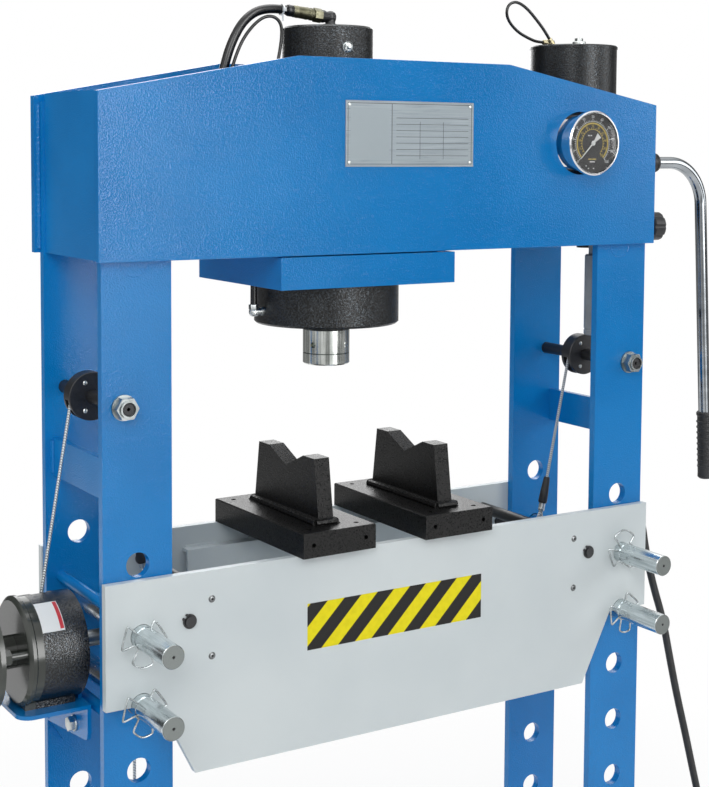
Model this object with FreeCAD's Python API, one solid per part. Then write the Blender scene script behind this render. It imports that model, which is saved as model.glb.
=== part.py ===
# Hydraulic workshop press: welded frame, sliding cylinder under the crosshead, pinned bed with
# two V-blocks, hand and air pump, bed winch with rope pulleys. Millimetres, +Z up, X across
# the front, Y towards the back. The origin is on the floor at the middle of the frame.

import FreeCAD, Part
import math
import os
from FreeCAD import Vector

os.makedirs("parts", exist_ok=True)

# ---------------------------------------------------------------- driving dimensions
# frame
GAP_BETWEEN_COLUMNS = 792.0
UPRIGHT_WIDTH = 107.0
UPRIGHT_THICKNESS = 13.0
FRAME_DEPTH = 237.0
UPRIGHT_TOP = 1712.0
HOLE_PITCH = 100.0
HOLE_COUNT = 9
TOP_HOLE_HEIGHT = 1052.0
HOLE_RADIUS = 18.0
TIE_HEIGHT = 58.0
TIE_BOTTOM = 1144.0
TIE_THICKNESS = 10.0
TIE_INSET = 13.0
BRACE_X = -478.0
BRACE_HEIGHTS = (985.0, 826.0)
BRACKET_PLATE = 6.0
BRACE_RADIUS = 9.0

# base
FOOT_WALL = 8.0
FOOT_HEIGHT = 60.0
FOOT_WIDTH = 131.0
FOOT_LENGTH = 640.0
ANCHOR_HOLE_RADIUS = 7.0
ANCHOR_SPACING = 580.0
CROSSBAR_WIDTH = 100.0
CROSSBAR_WALL = 5.0
CROSSBAR_HEIGHT = 50.0

# crosshead
CROSSHEAD_LENGTH = 1023.0
CROSSHEAD_BOTTOM = 1485.0
CROSSHEAD_END_TOP = 1721.5
CROSSHEAD_MID_TOP = 1780.0
CROSSHEAD_BREAK = 195.0
CROSSHEAD_PLATE = 13.0
END_PLATE_THICKNESS = 12.0
END_PLATE_INSET = 4.0
END_PLATE_TOP = 1724.0
RAIL_WIDTH = 20.0
RAIL_THICKNESS = 12.0
RAIL_BOTTOM = 1497.0
RAIL_HALF_LENGTH = 390.0

# cylinder and its carriage
CYLINDER_X = -68.0
CARRIAGE_LEFT = -224.0
CARRIAGE_RIGHT = 90.0
CARRIAGE_BACK = 143.5
CARRIAGE_BOTTOM = 1434.5
CARRIAGE_GAP = 2.0
CHEEK_THICKNESS = 12.0
CHEEK_TOP = 1556.0
CHEEK_OUTER_Y = 92.0
CHEEK_HALF_LENGTH = 150.0
ROLLER_RADIUS = 19.8
ROLLER_OFFSET = 120.0
ROLLER_AXLE_RADIUS = 8.0
CYLINDER_RADIUS = 72.1
CYLINDER_TOP = 1835.0
CYLINDER_BORE = 52.0
FLANGE_RADIUS = 115.8
FLANGE_BOTTOM = 1368.0
RAM_RADIUS = 33.0
RAM_HEAD_RADIUS = 37.5
RAM_BOTTOM = 1301.0
RAM_HEAD_TOP = 1356.0
RAM_GROOVE_Z = 1319.0
RAM_HOLE_Z = 1333.0
RAM_HOLE_RADIUS = 4.6
RAM_HOLE_DEPTH = 20.0
RAM_HOLE_TURN = -155.0
RAM_TOP = 1760.0
PISTON_THICKNESS = 34.0
HOSE_RADIUS = 7.2
RETURN_HOSE_RADIUS = 2.6
RETURN_PIPE_X = -200.0
RETURN_FITTING_Z = 1390.0
FITTING_HEIGHT = 1857.0
BLEED_Z = 1800.0
BLEED_DEG = -62.0

# gauge and plate
GAUGE_X = 344.5
GAUGE_Z = 1655.5
GAUGE_PROUD = 36.0
GAUGE_HOLE_RADIUS = 52.0
BEZEL_RADIUS = 53.0
GAUGE_CASE_RADIUS = 47.0
GAUGE_DEPTH = 62.0
BEZEL_DEPTH = 11.0
DIAL_RADIUS = 50.0
POINTER_DEG = -135.0
PLATE_CENTRE_X = 3.5
PLATE_BOTTOM = 1617.0
PLATE_WIDTH = 237.0
PLATE_HEIGHT = 100.0
PLATE_THICKNESS = 1.5

# pump, tank and handle
GAUGE_PORT = (400.5, -1.4, 1655.5)
HOSE_PORT = (405.3, 43.4, 1598.0)
RETURN_PORT = (402.5, 33.1, 1632.0)
TANK_X = 449.5
TANK_Y = 16.0
TANK_RADIUS = 76.9
TANK_BOTTOM = 1692.0
TANK_TOP = 1827.0
PUMP_BOTTOM = 1500.0
PUMP_SHOULDER = 1560.0
TOWER_RADIUS = 46.0
LUG_INNER_Y = 14.5
LUG_OUTER_Y = 26.0
BARREL_RADIUS = 20.0
LEVER_PIN_RADIUS = 6.0
LEVER_PIN_HOLE = 6.06
SOCKET_RADIUS = 16.8
SOCKET_INSET = 32.0
HANDLE_PIVOT_X = 528.0
HANDLE_HEIGHT = 1622.0
HANDLE_TUBE_RADIUS = 11.0
SOCKET_END_X = 632.0
HANDLE_CORNER_X = 746.0
HANDLE_FOOT_X = 779.0
HANDLE_FOOT_Z = 1021.0
HANDLE_BEND = 80.0
GRIP_LENGTH = 126.0
GRIP_RADIUS = 15.0
RELEASE_HEIGHT = 1506.0
KNOB_START_X = 616.0
KNOB_END_X = 642.0
KNOB_RADIUS = 26.0
KNOB_FLUTES = 8
MOTOR_X = 449.5
MOTOR_Y = -58.0
MOTOR_RADIUS = 22.5
MOTOR_TOP = 1463.0
MOTOR_BOTTOM = 1322.0
MOTOR_NECK_RADIUS = 16.0
GLAND_BOTTOM = 1294.0
AIR_HOSE_RADIUS = 6.8

# bed
BED_PLATE = 12.0
BED_CLEARANCE = 1.5
BED_HALF_LENGTH = 505.0
BED_TOP = 1032.0
BED_EAR_BOTTOM = 851.0
BED_BOTTOM = 735.0
BED_SLANT_TOP_X = 425.0
BED_SLANT_BOTTOM_X = 366.0
LEDGE_TOP = 998.0
LEDGE_HEIGHT = 150.0
LEDGE_DEPTH = 20.0
LEDGE_HALF_LENGTH = 266.0
LEDGE_WALL = 5.0
BED_AXLE_X = 375.0
BED_AXLE_Z = 962.0
BED_AXLE_RADIUS = 8.0
SPACER_RADIUS = 10.0
SPACER_PLACES = ((-339.0, 991.0), (-339.0, 907.0), (339.0, 991.0), (339.0, 907.0),
                 (-180.0, 775.0), (180.0, 775.0))
SNAP_RING_WIDTH = 1.6
SNAP_RING_PROUD = 2.8

# pins
PIN_RADIUS = 17.0
PIN_FRONT = 105.0
PIN_BACK = 12.0
PIN_UPPER_Z = 952.0
PIN_LOWER_Z = 852.0
PIN_CHAMFER = 1.5
PIN_GROOVE = 1.2
CLIP_SETBACK = 14.0
CLIP_WIRE = 1.5
CLIP_INNER = 17.6
CLIP_OUTER = 39.5

# pulleys, rope and winch
PULLEY_X = 470.3
PULLEY_Z = 1279.5
PULLEY_Y = 7.0
PULLEY_RADIUS = 31.0
PULLEY_HALF_WIDTH = 9.0
GROOVE_RADIUS = 24.0
GROOVE_HALF_FLOOR = 3.0
GROOVE_HALF_MOUTH = 6.0
COVER_RADIUS = 36.0
COVER_WALL = 2.0
COVER_HALF_WIDTH = 12.0
COVER_SLOT_HALF = 6.0
PULLEY_AXLE_RADIUS = 10.0
WASHER_RADIUS = 18.5
WASHER_THICKNESS = 3.0
NUT_ACROSS = 30.0
NUT_LENGTH = 14.0
NUT_COLLAR_RADIUS = 12.5
NUT_COLLAR = 4.0
ROPE_RADIUS = 2.5
ROPE_SIDES = 8
HOSE_SIDES = 12
ROPE_REST = 0.5
BASE_PULLEY_Z = 60.0
BASE_GROOVE_RADIUS = 24.5
BASE_RIM = 4.5
BASE_HALF_WIDTH = 9.0
BASE_SPINDLE_RADIUS = 6.0
BASE_CHEEK_INNER = 10.5
BASE_CHEEK_OUTER = 14.5
BASE_CHEEK_HALF_LENGTH = 16.0
BASE_CHEEK_TOP = 76.0
EYE_MEET = 47.0
FERRULE_START = 43.0
SLEEVE_START = 57.0

# winch; everything turns about the line along X at this height
WINCH_Z = 917.0
WINCH_OUTER_X = -592.0
WINCH_INNER_X = -506.0
WINCH_RADIUS = 79.0
WINCH_WALL = 4.0
COVER_OUTER_X = -641.0
COVER_INNER_X = -629.0
SHAFT_END_X = -652.0
SHAFT_RADIUS = 8.0
DRUM_RADIUS = 27.0
DRUM_FLANGE = 45.0
DRUM_LEFT_X = (-583.0, -522.0)
DRUM_RIGHT_X = (-427.0, -408.0)
INNER_SHAFT_RADIUS = 12.0
INNER_FLANGE = 34.0
WINCH_ROPE_X = -551.0
ROPE_DROP_X = -417.5
CRANK_ARM = 230.0
CRANK_ARM_THICKNESS = 8.0
CRANK_END_X = -768.0
CRANK_HALF_WIDTH = 14.0
SHELF_THICKNESS = 6.0
SHELF_OUTER_X = -604.0
WEB_X = -503.0
BEARING_RADIUS = 22.0
SHELF_FRONT = -58.0
SHELF_CORNER = 22.0
WEB_DROP_FRONT = 55.0
WEB_DROP_BACK = 75.0

# V-blocks
VBLOCK_CENTRES_X = {"left": -134.5, "right": 91.5}
VBLOCK_TURN_DEG = {"left": 1.5, "right": 0.0}
VBLOCK_WIDTH = 130.0
VBLOCK_DEPTH = 278.0
VBLOCK_CENTRE_Y = -10.5
VBLOCK_THICKNESS = 38.0
VEE_THICKNESS = 27.0
VEE_FOOT = 197.0
VEE_TOP = 169.0
VEE_HEIGHT = 99.0
VEE_NOTCH_WIDTH = 104.0
VEE_NOTCH_DEPTH = 24.0

# ---------------------------------------------------------------- worked-out sizes
HALF_DEPTH = FRAME_DEPTH / 2
INNER_DEPTH = HALF_DEPTH - UPRIGHT_THICKNESS
HALF_GAP = GAP_BETWEEN_COLUMNS / 2
COLUMN_X = HALF_GAP + UPRIGHT_WIDTH / 2
COLUMN_OUTER = HALF_GAP + UPRIGHT_WIDTH
FACE_Y = HALF_DEPTH + CROSSHEAD_PLATE
BED_INNER_Y = HALF_DEPTH + BED_CLEARANCE
BED_OUTER_Y = BED_INNER_Y + BED_PLATE
SIDES = {"left": -1, "right": 1}
ROPE_OFFSET = GROOVE_RADIUS + ROPE_REST + ROPE_RADIUS
BASE_ROPE_OFFSET = BASE_GROOVE_RADIUS + ROPE_REST + ROPE_RADIUS
DRUM_ROPE_Y = DRUM_RADIUS + 0.3 + ROPE_RADIUS
BASE_PULLEYS = {"left": (ROPE_DROP_X + BASE_ROPE_OFFSET, -DRUM_ROPE_Y),
                "right": (PULLEY_X + ROPE_OFFSET - BASE_ROPE_OFFSET, PULLEY_Y)}
ALONG_X = Vector(1, 0, 0)
ALONG_Y = Vector(0, 1, 0)
ALONG_Z = Vector(0, 0, 1)


# ---------------------------------------------------------------- shape helpers
def save(name, shape):
    if not shape.isValid():
        print("invalid shape:", name)
    shape.exportStep("parts/" + name + ".step")


def group(solids):
    return Part.Compound(list(solids))


def block(x0, x1, y0, y1, z0, z1):
    return Part.makeBox(x1 - x0, y1 - y0, z1 - z0, Vector(x0, y0, z0))


def rod(start, direction, radius, length):
    return Part.makeCylinder(radius, length, start, direction)


def ring(start, direction, outer, inner, length):
    return rod(start, direction, outer, length).cut(rod(start, direction, inner, length))


def polygon_face(points):
    return Part.Face(Part.makePolygon(points + points[:1]))


def plate_across(outline, y0, y1):
    """A plate cut to an (x, z) outline, lying between two depths."""
    points = [Vector(x, y0, z) for x, z in outline]
    return polygon_face(points).extrude(Vector(0, y1 - y0, 0))


def turned(profile, base, direction):
    """A piece turned about an axis; the profile lists (distance along the axis, radius)."""
    points = [Vector(radius, 0, along) for along, radius in profile]
    solid = polygon_face(points).revolve(Vector(0, 0, 0), ALONG_Z, 360)
    solid.Placement = FreeCAD.Placement(base, FreeCAD.Rotation(ALONG_Z, direction))
    return solid


def many_sided(radius, sides, centre, direction):
    """A closed many-sided section about a centre, square to a direction."""
    corners = []
    for i in range(sides + 1):
        angle = 2 * math.pi * i / sides
        corners.append(Vector(radius * math.cos(angle), radius * math.sin(angle), 0))
    wire = Part.makePolygon(corners)
    wire.Placement = FreeCAD.Placement(centre, FreeCAD.Rotation(ALONG_Z, direction))
    return wire


def hexagon(centre, direction, across_flats, length):
    radius = across_flats / math.sqrt(3)
    way = Vector(direction).normalize() * length
    return Part.Face(many_sided(radius, 6, centre, direction)).extrude(way)


def bent_path(points, bend=None):
    """Straight runs joined by tangent arcs. Without a bend radius each arc is as large as 0.45
    of its shorter run allows."""
    edges = []
    radii = []
    start = points[0]
    for before, corner, after in zip(points, points[1:], points[2:]):
        come = corner - before
        leave = after - corner
        half_turn = come.getAngle(leave) / 2
        radius = bend or 0.45 * min(come.Length, leave.Length) / math.tan(half_turn)
        reach = radius * math.tan(half_turn)
        come.normalize()
        leave.normalize()
        first = corner - come * reach
        last = corner + leave * reach
        inward = (leave - come).normalize()
        middle = corner + inward * (radius / math.cos(half_turn) - radius)
        if (first - start).Length > 1e-6:
            edges.append(Part.LineSegment(start, first).toShape())
        edges.append(Part.Arc(first, middle, last).toShape())
        radii.append(radius)
        start = last
    edges.append(Part.LineSegment(start, points[-1]).toShape())
    return Part.Wire(edges), radii


def tube(name, points, radius, bend=None, sides=HOSE_SIDES):
    """A solid along straight runs and arcs: round with no sides given, or many-sided, which
    keeps the facets of long hoses few."""
    path, radii = bent_path(points, bend)
    way = points[1] - points[0]
    if sides:
        section = many_sided(radius, sides, points[0], way)
    else:
        section = Part.Wire(Part.makeCircle(radius, points[0], way))
    solid = path.makePipeShell([section], True, False)
    ideal = Part.Face(section).Area * path.Length
    print(name, "length", round(path.Length, 1), "volume ratio", round(solid.Volume / ideal, 4),
          "arc radii", [round(r, 1) for r in radii])
    return solid


def points_of(coordinates):
    return [Vector(*c) for c in coordinates]


def around_y(radius, degrees):
    """The offset at an angle round an axis that runs from front to back."""
    angle = math.radians(degrees)
    return Vector(radius * math.cos(angle), 0, radius * math.sin(angle))


# ---------------------------------------------------------------- frame
def make_uprights():
    """Four flat bars with the row of pin holes and the pulley axle's hole."""
    for side, sign in SIDES.items():
        for face, y0 in (("front", -HALF_DEPTH), ("rear", INNER_DEPTH)):
            inner, outer = sorted((sign * HALF_GAP, sign * COLUMN_OUTER))
            bar = block(inner, outer, y0, y0 + UPRIGHT_THICKNESS, FOOT_WALL, UPRIGHT_TOP)
            for i in range(HOLE_COUNT):
                centre = Vector(sign * COLUMN_X, y0 - 1, TOP_HOLE_HEIGHT - i * HOLE_PITCH)
                bar = bar.cut(rod(centre, ALONG_Y, HOLE_RADIUS, UPRIGHT_THICKNESS + 2))
            axle_hole = Vector(sign * PULLEY_X, y0 - 1, PULLEY_Z)
            bar = bar.cut(rod(axle_hole, ALONG_Y, PULLEY_AXLE_RADIUS + 0.3, UPRIGHT_THICKNESS + 2))
            save("upright_" + face + "_" + side, bar)


def make_ties():
    """Flat ties across both columns, and two round braces beside the winch."""
    ties = []
    for sign in SIDES.values():
        outer = COLUMN_OUTER - TIE_INSET
        x0, x1 = sorted((sign * outer, sign * (outer - TIE_THICKNESS)))
        ties.append(block(x0, x1, -INNER_DEPTH, INNER_DEPTH, TIE_BOTTOM, TIE_BOTTOM + TIE_HEIGHT))
    for height, rear in zip(BRACE_HEIGHTS, (INNER_DEPTH, INNER_DEPTH - BRACKET_PLATE)):
        ties.append(rod(Vector(BRACE_X, -INNER_DEPTH, height), ALONG_Y, BRACE_RADIUS, rear + INNER_DEPTH))
    save("column_ties", group(ties))


def make_base():
    """A floor channel under each column with the cheeks of its rope wheel, and a rope channel
    between the two."""
    notch_half = CROSSBAR_WIDTH / 2 - CROSSBAR_WALL
    for side, sign in SIDES.items():
        centre = sign * COLUMN_X
        half = FOOT_WIDTH / 2
        foot = block(centre - half, centre + half, -FOOT_LENGTH / 2, FOOT_LENGTH / 2, 0, FOOT_HEIGHT)
        hollow = block(centre - half + FOOT_WALL, centre + half - FOOT_WALL,
                       -FOOT_LENGTH, FOOT_LENGTH, FOOT_WALL, FOOT_HEIGHT + 1)
        foot = foot.cut(hollow)
        for end in (-1, 1):
            anchor = Vector(centre, end * ANCHOR_SPACING / 2, -1)
            foot = foot.cut(rod(anchor, ALONG_Z, ANCHOR_HOLE_RADIUS, FOOT_WALL + 2))
        inner_flange = centre - sign * half
        x0, x1 = sorted((inner_flange - sign, inner_flange + sign * (FOOT_WALL + 1)))
        foot = foot.cut(block(x0, x1, -notch_half, notch_half, FOOT_WALL, FOOT_HEIGHT + 1))
        wheel_x, wheel_y = BASE_PULLEYS[side]
        for end in (-1, 1):
            y0, y1 = sorted((wheel_y + end * BASE_CHEEK_INNER, wheel_y + end * BASE_CHEEK_OUTER))
            foot = foot.fuse(block(wheel_x - BASE_CHEEK_HALF_LENGTH, wheel_x + BASE_CHEEK_HALF_LENGTH,
                                   y0, y1, FOOT_WALL, BASE_CHEEK_TOP))
        spindle = Vector(wheel_x, wheel_y - BASE_CHEEK_OUTER - 1, BASE_PULLEY_Z)
        foot = foot.cut(rod(spindle, ALONG_Y, BASE_SPINDLE_RADIUS + 0.05, 2 * BASE_CHEEK_OUTER + 2))
        save("base_foot_" + side, foot)
    reach = COLUMN_X - FOOT_WIDTH / 2
    half = CROSSBAR_WIDTH / 2
    bar = block(-reach, reach, -half, half, 0, CROSSBAR_HEIGHT)
    inner = half - CROSSBAR_WALL
    hollow = block(-reach, reach, -inner, inner, CROSSBAR_WALL, CROSSBAR_HEIGHT + 1)
    save("base_crossbar", bar.cut(hollow))


# ---------------------------------------------------------------- crosshead
def make_crosshead():
    """Two bridge-shaped side plates with the carriage's rails, and end plates between them."""
    half = CROSSHEAD_LENGTH / 2
    outline = [(-half, CROSSHEAD_BOTTOM), (half, CROSSHEAD_BOTTOM), (half, CROSSHEAD_END_TOP),
               (CROSSHEAD_BREAK, CROSSHEAD_MID_TOP), (-CROSSHEAD_BREAK, CROSSHEAD_MID_TOP),
               (-half, CROSSHEAD_END_TOP)]
    front = plate_across(outline, -FACE_Y, -HALF_DEPTH).fuse(carriage_rail(-1))
    gauge_hole = Vector(GAUGE_X, -FACE_Y - 1, GAUGE_Z)
    front = front.cut(rod(gauge_hole, ALONG_Y, GAUGE_HOLE_RADIUS, CROSSHEAD_PLATE + 2))
    save("crosshead_front_plate", front)
    rear = plate_across(outline, HALF_DEPTH, FACE_Y).fuse(carriage_rail(1))
    save("crosshead_rear_plate", rear)

    outer = COLUMN_OUTER - END_PLATE_INSET
    inner = outer - END_PLATE_THICKNESS
    left = block(-outer, -inner, -INNER_DEPTH, INNER_DEPTH, CROSSHEAD_BOTTOM, END_PLATE_TOP)
    right = block(inner, outer, -INNER_DEPTH, INNER_DEPTH, CROSSHEAD_BOTTOM, END_PLATE_TOP)
    opening = block(inner - 1, outer + 1, -INNER_DEPTH + 12, INNER_DEPTH - 8, PUMP_BOTTOM, END_PLATE_TOP + 1)
    save("crosshead_end_plates", group([left, right.cut(opening)]))


def carriage_rail(sign):
    """The ledge welded along a side plate, on which the carriage's rollers run."""
    y0, y1 = sorted((sign * HALF_DEPTH, sign * (HALF_DEPTH - RAIL_WIDTH)))
    return block(-RAIL_HALF_LENGTH, RAIL_HALF_LENGTH, y0, y1, RAIL_BOTTOM, RAIL_BOTTOM + RAIL_THICKNESS)


def make_rating_plate():
    x0 = PLATE_CENTRE_X - PLATE_WIDTH / 2
    y0 = -FACE_Y - PLATE_THICKNESS
    save("rating_plate", block(x0, x0 + PLATE_WIDTH, y0, -FACE_Y, PLATE_BOTTOM, PLATE_BOTTOM + PLATE_HEIGHT))


def make_gauge():
    """Pressure gauge: cup with a rolled bezel, dial, lens and a pointer on its arbor."""
    front = -FACE_Y - GAUGE_PROUD
    centre = Vector(GAUGE_X, front, GAUGE_Z)
    wall = 3.0
    cup = [(0.0, DIAL_RADIUS - 1), (0.0, BEZEL_RADIUS - 2), (2.0, BEZEL_RADIUS),
           (BEZEL_DEPTH - 2, BEZEL_RADIUS), (BEZEL_DEPTH, BEZEL_RADIUS - 2), (BEZEL_DEPTH, GAUGE_CASE_RADIUS),
           (GAUGE_DEPTH - 4, GAUGE_CASE_RADIUS), (GAUGE_DEPTH, GAUGE_CASE_RADIUS - 4), (GAUGE_DEPTH, 0.0),
           (GAUGE_DEPTH - wall, 0.0), (GAUGE_DEPTH - wall, GAUGE_CASE_RADIUS - 5),
           (BEZEL_DEPTH - 2, GAUGE_CASE_RADIUS - wall), (BEZEL_DEPTH - 2, DIAL_RADIUS), (2.0, DIAL_RADIUS),
           (2.0, DIAL_RADIUS - 1)]
    case = turned(cup, centre, ALONG_Y)
    stem = centre + ALONG_Y * GAUGE_DEPTH
    save("gauge_case", case.fuse([hexagon(stem, ALONG_Y, 22, 14), rod(stem, ALONG_Y, 8, 22)]))
    inward = (Vector(TANK_X, TANK_Y, 0) - Vector(GAUGE_PORT[0], GAUGE_PORT[1], 0)).normalize()
    corner_y = GAUGE_PORT[1] - inward.y / inward.x * (GAUGE_PORT[0] - GAUGE_X)
    pipe = points_of([(GAUGE_X, stem.y + 22, GAUGE_Z), (GAUGE_X, corner_y, GAUGE_Z), GAUGE_PORT])
    save("gauge_pipe", tube("gauge_pipe", pipe, 5.0, 24.0))
    dial = rod(centre + Vector(0, 8.0, 0), ALONG_Y, DIAL_RADIUS, 1.0)
    save("gauge_dial", dial.cut(rod(centre + Vector(0, 7, 0), ALONG_Y, 2.05, 3)))
    save("gauge_glass", rod(centre + Vector(0, 2.0, 0), ALONG_Y, DIAL_RADIUS, 2.0))
    pointer = plate_across([(-2.4, -17), (2.4, -17), (0.6, 36), (-0.6, 36)], 6.0, 6.6)
    hub = rod(Vector(0, 5.2, 0), ALONG_Y, 5.0, 1.4)
    arbor = rod(Vector(0, 5.2, 0), ALONG_Y, 2.0, 12.0)
    needle = pointer.fuse([hub, arbor])
    needle.rotate(Vector(0, 0, 0), ALONG_Y, POINTER_DEG)
    needle.translate(centre)
    save("gauge_pointer", needle)


# ---------------------------------------------------------------- carriage and cylinder
def make_carriage():
    """The block that carries the cylinder, with two cheeks that hold the roller axles."""
    top = CROSSHEAD_BOTTOM - CARRIAGE_GAP
    body = block(CARRIAGE_LEFT, CARRIAGE_RIGHT, -FACE_Y, CARRIAGE_BACK, CARRIAGE_BOTTOM, top)
    cheeks = []
    for sign in (-1, 1):
        y0, y1 = sorted((sign * CHEEK_OUTER_Y, sign * (CHEEK_OUTER_Y - CHEEK_THICKNESS)))
        cheeks.append(block(CYLINDER_X - CHEEK_HALF_LENGTH, CYLINDER_X + CHEEK_HALF_LENGTH, y0, y1,
                            top - 1, CHEEK_TOP))
    body = body.fuse(cheeks).removeSplitter()
    axis = Vector(CYLINDER_X, 0, CARRIAGE_BOTTOM - 1)
    body = body.cut(rod(axis, ALONG_Z, CYLINDER_RADIUS, top - CARRIAGE_BOTTOM + 2))
    roller_z = RAIL_BOTTOM + RAIL_THICKNESS + ROLLER_RADIUS + 0.2
    for side, sign in SIDES.items():
        x = CYLINDER_X + sign * ROLLER_OFFSET
        body = body.cut(rod(Vector(x, -CHEEK_OUTER_Y - 1, roller_z), ALONG_Y,
                            ROLLER_AXLE_RADIUS + 0.06, 2 * CHEEK_OUTER_Y + 2))
        wheel_in = HALF_DEPTH - RAIL_WIDTH + 1
        wheel_out = HALF_DEPTH - 1
        profile = [(-wheel_out, 0), (-wheel_out, ROLLER_RADIUS), (-wheel_in, ROLLER_RADIUS),
                   (-wheel_in, ROLLER_AXLE_RADIUS), (wheel_in, ROLLER_AXLE_RADIUS),
                   (wheel_in, ROLLER_RADIUS), (wheel_out, ROLLER_RADIUS), (wheel_out, 0)]
        save("carriage_roller_" + side, turned(profile, Vector(x, 0, roller_z), ALONG_Y))
    pipe_hole = rod(Vector(RETURN_PIPE_X, 0, CARRIAGE_BOTTOM - 1), ALONG_Z, 7, top - CARRIAGE_BOTTOM + 2)
    save("carriage_block", body.cut(pipe_hole))


def make_cylinder():
    """Press cylinder, its lower flange, and the ram with a piston and a screwed-on head."""
    axis = Vector(CYLINDER_X, 0, 0)
    shell = [(CARRIAGE_BOTTOM, CYLINDER_BORE + 0.05), (CARRIAGE_BOTTOM, CYLINDER_RADIUS),
             (CYLINDER_TOP - 3, CYLINDER_RADIUS), (CYLINDER_TOP, CYLINDER_RADIUS - 3),
             (CYLINDER_TOP, 0), (CYLINDER_TOP - 25, 0), (CYLINDER_TOP - 25, CYLINDER_BORE + 0.05)]
    save("cylinder_body", turned(shell, axis, ALONG_Z))
    flange = [(FLANGE_BOTTOM, RAM_RADIUS + 0.05), (FLANGE_BOTTOM, FLANGE_RADIUS - 3),
              (FLANGE_BOTTOM + 3, FLANGE_RADIUS), (CARRIAGE_BOTTOM, FLANGE_RADIUS),
              (CARRIAGE_BOTTOM, RAM_RADIUS + 0.05)]
    save("cylinder_flange", turned(flange, axis, ALONG_Z))
    piston_foot = RAM_TOP - PISTON_THICKNESS
    ram = [(RAM_BOTTOM, 0), (RAM_BOTTOM, RAM_HEAD_RADIUS - 2), (RAM_BOTTOM + 2, RAM_HEAD_RADIUS),
           (RAM_GROOVE_Z, RAM_HEAD_RADIUS), (RAM_GROOVE_Z, RAM_HEAD_RADIUS - 0.8),
           (RAM_GROOVE_Z + 0.8, RAM_HEAD_RADIUS - 0.8), (RAM_GROOVE_Z + 0.8, RAM_HEAD_RADIUS),
           (RAM_HEAD_TOP, RAM_HEAD_RADIUS),
           (RAM_HEAD_TOP + 9, RAM_RADIUS), (piston_foot, RAM_RADIUS),
           (piston_foot, CYLINDER_BORE), (RAM_TOP, CYLINDER_BORE), (RAM_TOP, 0)]
    body = turned(ram, axis, ALONG_Z)
    for turn in (0, 90, 180, 270):
        angle = math.radians(turn + RAM_HOLE_TURN)
        out = Vector(math.cos(angle), math.sin(angle), 0)
        tommy = axis + Vector(0, 0, RAM_HOLE_Z) + out * (RAM_HEAD_RADIUS - RAM_HOLE_DEPTH)
        body = body.cut(rod(tommy, out, RAM_HOLE_RADIUS, RAM_HOLE_DEPTH + 5))
    save("ram", body)


PRESSURE_HOSE_ROUTE = [
    (-215, 0, 1844), (-239, 0, 1806), (-252, 2, 1762), (-262, 8, 1706), (-258, 28, 1652),
    (-230, 62, 1618), (-180, 88, 1606), (-110, 95, 1602), (-20, 95, 1604), (75, 95, 1606), (165, 95, 1605),
    (262, 94, 1602), (345.8, 80.3, 1598)]


RETURN_HOSE_ROUTE = [
    (-200, 0, 1482), (-204, 0, 1536), (-197, 1, 1598), (-179, 2, 1658), (-166, 1, 1718), (-160, 0, 1768),
    (-151, 0, 1812), (-151, 0, 1838), (-165, 3, 1850), (-186, 5, 1845), (-212, 5, 1819), (-229, 5, 1786),
    (-241, 7, 1744), (-247, 16, 1702), (-242, 34, 1664), (-220, 60, 1636), (-182, 80, 1625), (-130, 85, 1623),
    (-60, 84, 1625), (15, 84, 1624), (90, 84, 1626), (165, 83, 1624), (238, 80, 1626), (300, 71, 1628),
    (352, 52, 1632)]


def make_hydraulic_line():
    """Elbow, nut and ferrule on the cylinder, the pressure hose, and the small return line."""
    knee = Vector(CYLINDER_X + 5, 0, FITTING_HEIGHT - 6)
    away = Vector(-1, 0, 0.1).normalize()
    riser = hexagon(Vector(knee.x, 0, CYLINDER_TOP), ALONG_Z, 22, 6)
    neck = rod(Vector(knee.x, 0, CYLINDER_TOP + 6), ALONG_Z, 8, knee.z - CYLINDER_TOP - 6)
    elbow = riser.fuse([neck, Part.makeSphere(9.5, knee), rod(knee, away, 8.5, 18)])
    nut = hexagon(knee + away * 18, away, 20, 24)
    ferrule = rod(knee + away * 42, away, 10, 36)
    hose_start = knee + away * 78
    port = Vector(RETURN_PIPE_X, 0, RETURN_FITTING_Z)
    stub = rod(port, ALONG_X, 5.5, CYLINDER_X - FLANGE_RADIUS - RETURN_PIPE_X)
    side_elbow = stub.fuse([Part.makeSphere(8, port), rod(port, ALONG_Z, 8, 16)])
    sleeve = rod(port + Vector(0, 0, 16), ALONG_Z, 4.6, CARRIAGE_BOTTOM - RETURN_FITTING_Z - 16)
    bleed_turn = math.radians(BLEED_DEG)
    bleed_out = Vector(math.cos(bleed_turn), math.sin(bleed_turn), 0)
    bleed_at = Vector(CYLINDER_X, 0, BLEED_Z) + bleed_out * CYLINDER_RADIUS
    bleed = hexagon(bleed_at, bleed_out, 9, 6).fuse(rod(bleed_at, bleed_out, 3, 11))
    save("cylinder_fittings", group([elbow, nut, ferrule, side_elbow, sleeve, bleed]))

    route = [hose_start, hose_start + away * 37] + points_of(PRESSURE_HOSE_ROUTE + [HOSE_PORT])
    save("hydraulic_hose", tube("hydraulic_hose", route, HOSE_RADIUS))
    route = points_of([(RETURN_PIPE_X, 0, CARRIAGE_BOTTOM)] + RETURN_HOSE_ROUTE + [RETURN_PORT])
    save("return_hose", tube("return_hose", route, RETURN_HOSE_RADIUS))


# ---------------------------------------------------------------- pump side
BREATHER_ROUTE = [
    (391, 8, 1833), (379, 8, 1849), (361, 9, 1868), (338, 10, 1889), (317, 12, 1899), (302, 14, 1893),
    (298, 15, 1878), (306, 17, 1863), (328, 20, 1847), (356, 23, 1837), (376, 26, 1832.5), (394, 26, 1832.5)]


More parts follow.
